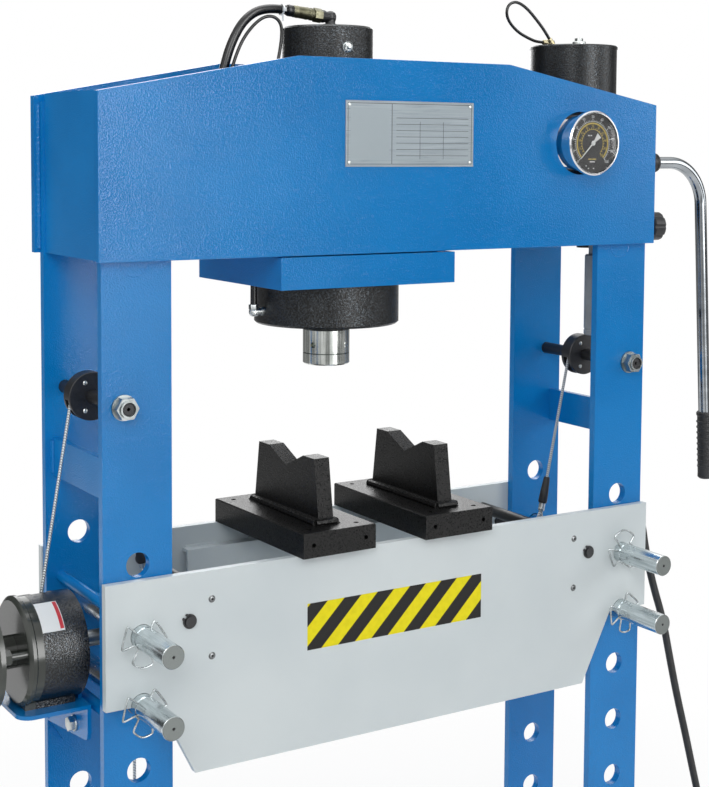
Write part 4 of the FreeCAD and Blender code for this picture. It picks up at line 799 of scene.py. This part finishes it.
def make_gauge_print():
    """Scales on the black dial, and a pointer with a flared tail."""
    centre = at(middle("gauge_dial").x, low("gauge_dial").y - 0.03, middle("gauge_dial").z)
    white, yellow = bmesh.new(), bmesh.new()
    add_arc(white, centre, 35.2, 35.8, -136, 136)
    add_arc(yellow, centre, 31.2, 33.8, -136, 136)
    add_arc(yellow, centre, 22.2, 23, -132, 132)
    for i in range(51):
        turn = math.radians(-135 + 5.4 * i)
        out = at(math.sin(turn), 0, math.cos(turn))
        main = i % 5 == 0
        add_flat(white, centre + out * (37.5 if main else 36.8), 0.9 if main else 0.5, 4.6
            if main else 2.6, turn)
        if i % 2 == 0:
            add_flat(yellow, centre + out * 24.2, 1.2, 2.6, turn)
        if main:
            add_number(white, str(i * 2), 6.2, centre + out * 43.1 + at(0, -0.1, 0))
            add_number(yellow, str(i), 5.6, centre + out * 27.9 + at(0, -0.1, 0))
    for x, z, wide in ((-5, -26.2, 7), (4, -26.2, 8)):
        add_flat(yellow, centre + at(x, 0, z), wide, 1.9)
    for x, z, wide in ((-8, 12.5, 3.5), (-3, 12.5, 3.5), (0, -30.5, 11), (-13, -37.2, 2.4),
            (-8, -41.5, 2.4), (3, -41.5, 2.4)):
        add_flat(white, centre + at(x, 0, z), wide, 1.8)
    finished("gauge_outer_scale", white, "white", smooth=False)
    finished("gauge_inner_scale", yellow, "yellow", smooth=False)

    pointer = bmesh.new()
    turn = math.radians(-135)
    hub = centre + at(0, -1.6, 0)
    place = Matrix.Translation(hub) @ Matrix.Rotation(turn, 4, "Y")
    outline = [(-0.6, 36), (0.6, 36), (1.3, 4), (2.2, -6), (5.2, -18), (-5.2, -18), (-2.2, -6), (-1.3, 4)]
    blade = pointer.faces.new([pointer.verts.new((x, 0, z)) for x, z in outline])
    pulled = bmesh.ops.extrude_face_region(pointer, geom=[blade])["geom"]
    bmesh.ops.translate(pointer, vec=(0, -0.6, 0),
        verts=[v for v in pulled if isinstance(v, bmesh.types.BMVert)])
    bmesh.ops.transform(pointer, matrix=place, verts=list(pointer.verts))
    add_turned(pointer, [(-1.4, 0), (-1.4, 2), (0.4, 4.2), (1, 4.2), (1.4, 3.6), (1.6, 0)],
        hub, -ALONG_Y, 24)
    needle = finished("gauge_needle_blade", pointer, "white", "gauge_needle")
    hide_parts("gauge_pointer")


def make_frame_welds():
    """Beads where the crosshead's plates and the ties meet the uprights, the filled plug welds, and
    the seam under the cylinder's flange."""
    beads = bmesh.new()
    rear = high("upright_rear_left").y
    edge = high("upright_front_right").x + 1.5
    bottom, top = low("crosshead_front_plate").z, high("upright_rear_left").z
    for sx in (-1, 1):
        for sy in (-1, 1):
            add_bead(beads, at(sx * edge, sy * (rear - 0.5), bottom + 6),
                at(sx * edge, sy * (rear - 0.5), top - 4), 3.6)
    tie_high = high("column_ties")
    inner = rear - 13
    for sx in (-1, 1):
        face = sx * (tie_high.x + 0.5)
        for sy in (-1, 1):
            add_bead(beads, at(face, sy * inner, tie_high.z - 54),
                at(face, sy * inner, tie_high.z - 4), 3.4)
    for node in UPRIGHTS:
        lower, upper = low(node), high(node)
        for y in (lower.y, upper.y):
            add_bead(beads, at(lower.x + 4, y, 8.5), at(upper.x - 4, y, 8.5), 4.2)
    finished("frame_weld_beads", beads, "weld")

    rings = bmesh.new()
    for sx in (-1, 1):
        for face, way in ((low("upright_front_left").y, -ALONG_Y), (high("upright_rear_left").y, ALONG_Y)):
            spot = at(sx * COLUMN_X - 4, face, bottom - 2)
            add_turned(rings, [(-0.4, 20), (0.3, 20.3), (0.5, 20.9), (0.3, 21.5),
                (-0.4, 21.8)], spot, way, 48)
    finished("plug_weld_rings", rings, "blue")

    radius = (high("cylinder_flange").x - low("cylinder_flange").x) / 2
    seam = [(-1.2, radius - 4), (0, radius - 2), (0.8, radius - 4)]
    turned_piece("flange_seam", seam, at(CYLINDER_X, 0, low("carriage_block").z), -ALONG_Z, 96, "hammered",
        "carriage")


# ---- cylinder, pump and lever
def make_cylinder_fittings():
    """The hose's end, with its plated nut and sleeve, the black elbow, the return line's elbow and
    the bleed screw."""
    knee = at(-63, 0, 1851)
    foot = knee - ALONG_Z * 16
    away = at(-1, 0, 0.1).normalized()
    black = bmesh.new()
    add_hexagon(black, foot, ALONG_Z, 22, 6)
    riser = [(0, 0), (0, 8), (12.5, 8), (13.5, 9.2), (17.5, 9.6), (22.5, 7.8), (25, 4), (25.6, 0)]
    add_turned(black, riser, foot + ALONG_Z, ALONG_Z, 24)
    outlet = [(-6, 0), (-6, 8.5), (4, 8.8), (12, 8.8), (12.5, 10), (18, 10), (18, 0)]
    add_turned(black, outlet, knee, away, 24)
    elbow = finished("pressure_elbow", black, "satin", "carriage")
    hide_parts("cylinder_fittings")
    olive = bmesh.new()
    add_hexagon(olive, knee + away * 18, away, 19.5, 14)
    ferrule = [(32, 0), (32, 8.6), (34, 9.8), (37.5, 9.8), (38.5, 8.6), (41, 8.6), (42, 9.6), (44.5, 10),
        (47, 9.6), (60, 9.4), (61.5, 9.8), (63, 9.4), (68, 9.4), (69.5, 8.4), (69.5, 0)]
    add_turned(olive, ferrule, knee, away, 32)
    finished("pressure_ferrule", olive, "yellow_zinc", "carriage")
    boot = [(69.5, 0), (69.5, 8.6), (71, 9.2), (77, 9.2), (79.5, 8.2), (79.5, 7.1)]
    turned_piece("pressure_hose_boot", boot, knee, away, 32, "gloss_hose", "carriage")

    side = bmesh.new()
    port = at(-200, 0, 1390)
    flange_radius = 115.8
    reach = CYLINDER_X - flange_radius - port.x + 1
    add_turned(side, [(-7.5, 0), (-7, 3), (-5, 6.2), (-2, 7.6), (6, 6.8), (6.4, 5.5), (reach - 4, 5.5),
        (reach - 4, 6.6), (reach, 6.6), (reach, 0)], port, ALONG_X, 24)
    add_turned(side, [(-6.5, 0), (-6, 4.6), (-3, 7.2), (3, 7.2), (4, 6.2), (4.5, 6.2)], port, ALONG_Z, 24)
    add_hexagon(side, port + ALONG_Z * 4, ALONG_Z, 13.5, 7.5, 0.4)
    sleeve = [(11.2, 0), (11.2, 5.8), (12, 5.2), (44.5, 5), (44.5, 0)]
    turned_piece("return_pipe_sleeve", sleeve, port, ALONG_Z, 20, "gloss_hose", "carriage")
    finished("return_elbow", side, "zinc", "carriage")

    bleed = bmesh.new()
    turn = math.radians(-96)
    out = at(math.cos(turn), math.sin(turn), 0)
    spot = at(CYLINDER_X, 0, 1800) + out * (CYLINDER_RADIUS - 0.4)
    add_turned(bleed, [(-0.6, 0), (-0.6, 7.8), (1.2, 7.8), (1.6, 7), (1.6, 0)], spot, out, 24)
    add_hexagon(bleed, spot + out * 1.4, out, 12, 5.6, 0.4)
    add_turned(bleed, [(6.8, 0), (6.8, 3.6), (8.5, 3.6), (9.3, 2.6), (10.2, 3.4), (11.2, 3.4), (11.8, 2),
        (11.8, 0)], spot, out, 20)
    finished("bleed_screw", bleed, "zinc", "carriage")
    seal = bmesh.new()
    wire = 0.35
    level = Matrix.Translation(spot + out * 3.5) @ facing(out)
    for turn, size in ((0.3, 8.6), (1.4, 7.8)):
        round_wire = [(0, size + wire), (wire, size), (0, size - wire), (-wire, size)]
        spin_profile(seal, round_wire, level @ Matrix.Rotation(turn, 4, "X"), 28)
    across = out.cross(ALONG_Z).normalized()
    for side, rise, reach in ((1, 0.55, 12), (-1, -0.9, 13), (1, -0.8, 12)):
        way = (across * side + ALONG_Z * rise + out * 0.2).normalized()
        add_turned(seal, [(0, 0), (0, wire), (reach, wire), (reach, 0)], spot + out * 7.5, way, 6)
    finished("bleed_seal_wire", seal, "zinc", "carriage")

    tie = bmesh.new()
    spot = at(-151, 0, 1859)
    add_turned(tie, [(-1.6, 8), (-1.6, 8.8), (1.6, 8.8), (1.6, 8)], spot, away, 28)
    add_block(tie, spot + at(-3, -12.5, -3), spot + at(2, -8, 3), 0.4)
    add_block(tie, spot + at(-1.5, -4.5, -17.5), spot + at(1, -3.3, -7.5), 0.3)
    finished("hose_tie", tie, "white", "carriage")


def make_tank_details():
    """The filler plug and the breather's clips."""
    top = high("oil_tank").z + 6
    plug = bmesh.new()
    spot = at(461.5, 16, 0) + ALONG_Z * top
    add_turned(plug, [(0, 0), (0, 12), (8.6, 12), (9.2, 11.2), (9.2, 0)], spot, ALONG_Z, 32)
    add_hexagon(plug, spot + ALONG_Z * 9, ALONG_Z, 12.8, 6.2)
    finished("filler_plug", plug, "zinc")
    clips = bmesh.new()
    barrel = [(-7, 3.7), (-7, 5.2), (-1, 5.2), (-0.4, 4.4), (5, 4.4), (5.6, 3.6), (5.6, 2.7)]
    for start, way in ((at(391, 8, 1833), at(-0.6, 0, 0.8).normalized()), (at(394, 26, 1832.5), -ALONG_X)):
        add_turned(clips, barrel, start, way, 24)
    finished("breather_clips", clips, "pale_brass")


def make_lever_details():
    """Pivot clips on the lever's pin, and the grip's moulded ribs."""
    clips = bmesh.new()
    for side in (-1, 1):
        add_turned(clips, [(0, 5.8), (0, 9.2), (1.2, 9.2), (1.2, 5.8)], at(528, side * 27.2, 1622),
            ALONG_Y * side, 24)
    finished("lever_pin_clips", clips, "satin")
    ribs = bmesh.new()
    foot, head = at(779, 0, 1021), at(746, 0, 1622)
    way = (foot - head).normalized()
    start = foot - way * 122
    for i in range(9):
        add_turned(ribs, [(-2.2, 13.8), (-1.2, 15.2), (1.2, 15.2), (2.2, 13.8)],
            start + way * (12 + i * 10.8), way, 32)
    finished("grip_ribs", ribs, "grip", "pump_lever")


# ---- bed
CLIP_POINTS = {
    "pin_upper_left": ((-14.3, 9.7), (-26.2, 22.1), (-29.1, 21.4), (-37.5, -9), (-35.4, -11.1), (-16.2, -6),
        (-15.6, -8.9), (-13.8, -11.4), (-11.4, -13), (-21, -29.2), (-20, -33.4), (-6.6, -42.2), (9, -38.6),
        (11.1, -35), (5.9, -16.3), (10.8, -14.3), (14.6, -10.3), (16.5, -5.3), (30.8, -4.8), (32.1, -2.2),
        (14.6, 24.5), (11.7, 24.3), (7.8, 15.5)),
    "pin_lower_left": ((-14.1, 10), (-25.8, 19.8), (-28.8, 18.8), (-36.7, -11.7), (-34.5, -13.7),
        (-15.6, -7.5), (-15, -9.8), (-13.5, -11.8), (-11.4, -13), (-20, -28.2), (-19.2, -32.7),
        (-7.1, -42.4), (7.8, -39.3), (10, -35.8), (5.1, -16.5), (11, -14.1), (15.4, -9.1), (17.1, -2.9),
        (30.4, -2.4), (31.7, 0.1), (14.2, 24.8), (11.2, 24.5), (7.2, 15.7)),
    "pin_upper_right": ((-16.2, 6), (-40, 13.9), (-41.8, 12), (-30.9, -17.2), (-27.4, -18.2), (-15, -8.5),
        (-12.8, -12.5), (-9.1, -15.4), (-4.8, -16.6), (5.5, -24.4), (10.7, -25), (30.1, -16.9),
        (30.7, -13.7), (17.3, -1.2), (16.7, 6.5), (12.1, 13.2), (5.2, 16.5), (14.9, 28.1), (14.3, 32),
        (-6.4, 44.8), (-27.2, 35.2), (-28.1, 31.5), (-13, 11.4)),
    "pin_lower_right": ((-16.6, 4.8), (-32.4, 13.8), (-34.8, 12.3), (-32.1, -18.9), (-29.5, -20.1),
        (-14.9, -8.7), (-14, -11.1), (-12.3, -13), (-10, -14.1), (-13.9, -30.6), (-11.8, -34.6), (-3.1, -38),
        (7.6, -36.3), (10.5, -32.8), (10, -14.1), (15.2, -9.4), (17.7, -2.5), (16.7, 4.5), (27.4, 8.6),
        (27.9, 11.6), (4.3, 31.5), (1.3, 30.5), (-2, 17.2)),
}


def make_block_welds():
    """The bead round the foot of each V-block's plate."""
    for node in ("v_block_left", "v_block_right"):
        centre = middle(node)
        foot = high(node).z - BLOCK_PLATE_DROP
        across, along = BLOCK_PLATE[0] / 2 + 4.5, BLOCK_PLATE[1] / 2 + 3.5
        beads = bmesh.new()
        for side in (-1, 1):
            add_bead(beads, at(centre.x + side * across, centre.y - along, foot),
                at(centre.x + side * across, centre.y + along, foot), 5.6, 4.2)
            add_bead(beads, at(centre.x - across, centre.y + side * along, foot),
                at(centre.x + across, centre.y + side * along, foot), 5.6, 4.2)
        finished(node + "_weld", beads, "block")


def make_ram_plug():
    """A flush plug in the tommy hole that would show at the right; the photograph has none there."""
    turn = math.radians(-65)
    out = at(math.cos(turn), math.sin(turn), 0)
    plug = [(30, 0), (30, 4.5), (37.1, 4.5), (37.2, 4.3), (37.3, 0)]
    turned_piece("ram_hole_plug", plug, at(CYLINDER_X, 0, 1333), out, 24, "ram", "ram")


def make_pins():
    """The four bed pins: a bar with a centre hole and a groove, and a clip bent from round wire."""
    for node, points in CLIP_POINTS.items():
        side = -1 if "left" in node else 1
        height = PIN_HEIGHT["upper" if "upper" in node else "lower"]
        front, back = low(node).y, high(node).y
        clip_y = BED_FACE - 14
        groove = clip_y - front
        length = back - front
        tip = at(side * COLUMN_X, front, height)
        bar = [(4.5, 0), (4.5, 1.9), (0.6, 1.9), (0, 2.4), (0, 15.7), (1.3, PIN_RADIUS),
            (groove - 2, PIN_RADIUS), (groove - 2, 15.8), (groove + 2, 15.8), (groove + 2, PIN_RADIUS),
            (length - 5, PIN_RADIUS), (length - 0.5, 13.4), (length, 12.8), (length, 0)]
        turned_piece(node + "_bar", bar, tip, ALONG_Y, 64, "pin", node)
        # Painted shade: a near-black plug fills the centre hole.
        hole = [(0.1, 1.8), (0.1, 0), (4, 0), (4, 1.8)]
        turned_piece(node + "_centre_hole", hole, tip, ALONG_Y, 20, "dark", node)
        bends = [(side * COLUMN_X + x, clip_y, height + z) for x, z in points]
        clip = as_mesh(hose_piece(node + "_clip", bends, 1.5, "clip", 3))
        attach(clip, node)
        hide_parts(node)


def make_bed_details():
    """The hazard stripe, the ledge screws, and the beads along the ledges."""
    stripe = bmesh.new()
    add_block(stripe, at(-178, BED_FACE - 0.25, 885), at(148.5, BED_FACE + 0.2, 957), 0.1, 1)
    finished("hazard_stripe", stripe, "stripe", smooth=False)
    screws, sockets = bmesh.new(), bmesh.new()
    rim = [(-0.3, 5.6), (0.4, 5.4), (0.6, 4.7), (0.2, 4.2), (1.4, 3.8), (1.9, 2.8), (1.9, 1.8), (0.4, 1.6)]
    key = [(0.4, 0), (0.4, 2.1), (1.95, 2.1), (1.95, 1.1), (0.6, 0.9), (0.6, 0)]
    for x, z in ((-339, 989.5), (-339, 905), (343, 989), (343, 904.5)):
        for y, way in ((BED_FACE, -ALONG_Y), (-BED_FACE, ALONG_Y)):
            add_turned(screws, rim, at(x, y, z), way, 24)
            add_turned(sockets, key, at(x, y, z), way, 6)
    finished("ledge_screws", screws, "axle")
    # Painted shade: near-black hex plugs fill the screws' sockets.
    finished("ledge_screw_sockets", sockets, "dark")
    beads = bmesh.new()
    inner = -BED_FACE - 12
    for sy in (-1, 1):
        for z in (998, 848):
            start, end = at(-262, sy * inner, z), at(262, sy * inner, z)
            for i in range(5):
                a = start.lerp(end, i / 4.6)
                add_bead(beads, a, a + ALONG_X * 55, 3.2)
    finished("ledge_beads", beads, "grey")


# ---- pulleys and ropes
def make_pulley_details():
    """Face screws on the pulley covers, and thread on the bolts' ends."""
    screws, thread = bmesh.new(), bmesh.new()
    head = [(0, 0), (0, 3.4), (0.8, 3.4), (1.6, 2.4), (1.9, 1), (1.2, 0.8), (1.2, 0)]
    for node in ("rope_pulley_left", "rope_pulley_right"):
        centre = middle(node)
        face = centre.y - 12
        for dx, dz in ((-11.5, 20.5), (-11.5, -20.5), (20.5, 0)):
            add_turned(screws, head, at(centre.x + dx, face, centre.z + dz), -ALONG_Y, 16)
        for way in (-1, 1):
            end = high("pulley_bolts").y if way > 0 else low("pulley_bolts").y
            for i in range(3):
                add_turned(thread, [(-0.7, 9.9), (0, 10.7), (0.7, 9.9)],
                    at(centre.x, end - way * (1.2 + 1.5 * i), centre.z), ALONG_Y * way, 24)
            add_turned(thread, [(0, 0), (0, 8.8), (0.6, 8), (0.6, 3), (-0.4, 1.8), (-0.4, 0)],
                at(centre.x, end, centre.z), ALONG_Y * way, 24)
    finished("cover_screws", screws, "zinc")
    finished("bolt_threads", thread, "satin")


def make_rope_sleeves():
    """Black rubber over the splice of each rope, and the bright ferrule under it."""
    rubber_sleeves, ferrules = bmesh.new(), bmesh.new()
    sleeve = [(56.8, 2.6), (56.8, 7.2), (59, 7.9), (78, 7.1), (97, 5.9), (103, 4.9), (103.6, 2.7)]
    ferrule = [(42.4, 3), (42.4, 5), (43.4, 5.6), (47, 5.6), (47.8, 5), (48.6, 5.6), (56.2, 5.6), (56.8, 5)]
    for side in (-1, 1):
        axle = at(side * 375, 7, 962)
        pulley = middle("rope_pulley_left" if side < 0 else "rope_pulley_right")
        dx, dz = axle.x - pulley.x, axle.z - pulley.z
        angle = math.atan2(dz, dx) - side * math.acos(ROPE_GROOVE_RADIUS / math.hypot(dx, dz))
        touch = pulley + ROPE_GROOVE_RADIUS * at(math.cos(angle), 0, math.sin(angle))
        up = (touch - axle).normalized()
        add_turned(rubber_sleeves, sleeve, axle, up, 28)
        add_turned(ferrules, ferrule, axle, up, 28)
    finished("rope_splice_sleeves", rubber_sleeves, "grip")
    finished("rope_ferrules", ferrules, "zinc")


# ---- winch
def make_winch_details():
    """The blank label, rim bolts, the bracket's bolts and the rope laid on the drums."""
    axis_z = middle("winch_drum").z
    label, band = bmesh.new(), bmesh.new()
    for bm, x0, x1, lift, first, last in ((label, -572, -538.5, 0.3, -58, -20),
            (band, -545, -539.6, 0.5, -56, -21)):
        start, inner, outer = math.radians(first), BARREL_RADIUS, BARREL_RADIUS + lift
        corners = [(x, r * math.sin(start), axis_z + r * math.cos(start))
            for x, r in ((x0, inner), (x1, inner), (x1, outer), (x0, outer))]
        add_strip(bm, corners, -ALONG_X, (0, 0, axis_z), 24, math.radians(last - first))
    finished("winch_label", label, "white")
    finished("winch_label_band", band, "red")

    bolts = bmesh.new()
    spot = at(-514, -8, 796)
    add_turned(bolts, [(-0.3, 6), (-0.3, 11.8), (0.4, 12.1), (2.4, 12.1), (3, 11.8), (3, 6)],
        spot + ALONG_X * 10.8, -ALONG_X, 32)
    add_hexagon(bolts, spot + ALONG_X * 8.2, -ALONG_X, 19.6, 8.6)
    for turn in (35, 155, 275):
        out = at(0, math.sin(math.radians(turn)), math.cos(math.radians(turn))) * 62
        add_hexagon(bolts, at(-641, out.y, axis_z + out.z), -ALONG_X, 10, 4.5, 0.5)
    finished("winch_bolts", bolts, "zinc")
    wound = bmesh.new()
    for start, turns in ((-580, (10, 9, 10)), (-425, (3, 2))):
        for layer, count in enumerate(turns):
            lay = DRUM_RADIUS + 2.5 + layer * 4.3
            section = [(-2.4, lay), (-1.7, lay + 1.7), (0, lay + 2.4), (1.7, lay + 1.7), (2.4, lay),
                (0, lay - 2.5)]
            for i in range(count):
                x = start + 2.5 + 5 * i + (layer % 2) * 2.5
                add_turned(wound, section, at(x, 0, axis_z), ALONG_X, 40)
    finished("rope_on_drums", wound, "rope", "winch_shaft")


# ---- stage
STUDIO_TURN = (
    (0.0, 0.006), (0.15, 0.012), (0.195, 0.12), (0.36, 0.12), (0.411, 0.1), (0.425, 0.03), (0.455, 0.03),
    (0.475, 0.3), (0.52, 0.35), (0.535, 1.0), (0.555, 1.0), (0.563, 0.12), (0.58, 0.012), (0.667, 0.012),
    (0.847, 0.024), (0.889, 0.12), (0.96, 0.05), (1.0, 0.006))


def make_floor():
    """A pale floor that is white where the camera sees it, and keeps the press's shadow."""
    mesh = bpy.data.meshes.new("floor")
    floor = bmesh.new()
    bmesh.ops.create_grid(floor, x_segments=1, y_segments=1, size=4.5)
    floor.to_mesh(mesh)
    floor.free()
    f = Finish("pale_floor", "#ECEDEE", 0.6)
    x, y, z = f.axes()
    away = (x * x + y * y) ** 0.5
    glow = f.node("ShaderNodeEmission", inputs={"Color": (1, 1, 1, 1), "Strength": 1.0})
    white = f.seen_by("Camera", "Glossy", "Transmission") * f.between(away, 0.7, 2.2, 0.62, 1.0)
    paper = Value(f, f.shader.outputs[0])
    mixed = f.node("ShaderNodeMixShader", inputs={0: white, 1: paper, 2: glow})
    f.tree.links.new(mixed.socket, f.tree.nodes["Material Output"].inputs["Surface"])
    mesh.materials.append(f.material)
    placed("floor", mesh)


def make_studio():
    """White surroundings. What gloss and metal mirror is white too, with darker gaps between the
    bright screens that stand round the press."""
    world = bpy.data.worlds.new("studio")
    bpy.context.scene.world = world
    world.use_nodes = True
    t = Tree(world.node_tree)
    x, y, z = t.axes(t.node("ShaderNodeTexCoord", output="Generated"))
    turn = x.maths("ARCTAN2", x, y * -1) / (2 * math.pi) + 0.5
    screens = t.node("ShaderNodeValToRGB", {"stops": STUDIO_TURN}, {"Fac": turn})
    screens = t.blend(t.between(z, -0.12, -0.05), t.blend(0.8, screens, 0.03), screens)
    screens = t.blend(t.between(z, 0.45, 0.8), screens, 0.12)
    soft = t.node("ShaderNodeBackground", inputs={"Color": (0.97, 0.985, 1, 1), "Strength": 0.5})
    mirrored = t.node("ShaderNodeBackground", inputs={"Color": screens, "Strength": 10.0})
    white = t.node("ShaderNodeBackground", inputs={"Color": (1, 1, 1, 1), "Strength": 1.0})
    lit = t.node("ShaderNodeMixShader", inputs={0: t.seen_by("Glossy"), 1: soft, 2: mirrored})
    all_round = t.node("ShaderNodeMixShader",
        inputs={0: t.seen_by("Camera", "Transmission"), 1: lit, 2: white})
    t.tree.links.new(all_round.socket, t.tree.nodes["World Output"].inputs["Surface"])

    for name, place, size, power in (("key", (-2.6, -3.2, 3.6), 2.2, 72),
            ("side", (3.4, -2.2, 2.4), 2.0, 36), ("top", (0.2, 0.6, 4.2), 2.4, 42),
            ("back", (1.5, 3.4, 2.8), 2.4, 40)):
        data = bpy.data.lights.new(name, "AREA")
        data.size = size
        data.energy = power
        lamp = placed(name, data)
        lamp.location = place
        aim = at(0, 0, 1.2) - Vector(place)
        lamp.rotation_euler = aim.to_track_quat("-Z", "Y").to_euler()
    bpy.context.scene.view_settings.view_transform = "Standard"


aim_camera()
make_floor()
make_studio()
for finish, nodes in FINISH_OF.items():
    for node in nodes:
        dress(node, finish)
round_plate_edges()
make_hoses()
make_rating_plate_print()
make_gauge_print()
make_frame_welds()
make_cylinder_fittings()
make_tank_details()
make_lever_details()
make_block_welds()
make_ram_plug()
make_pins()
make_bed_details()
make_pulley_details()
make_rope_sleeves()
make_winch_details()
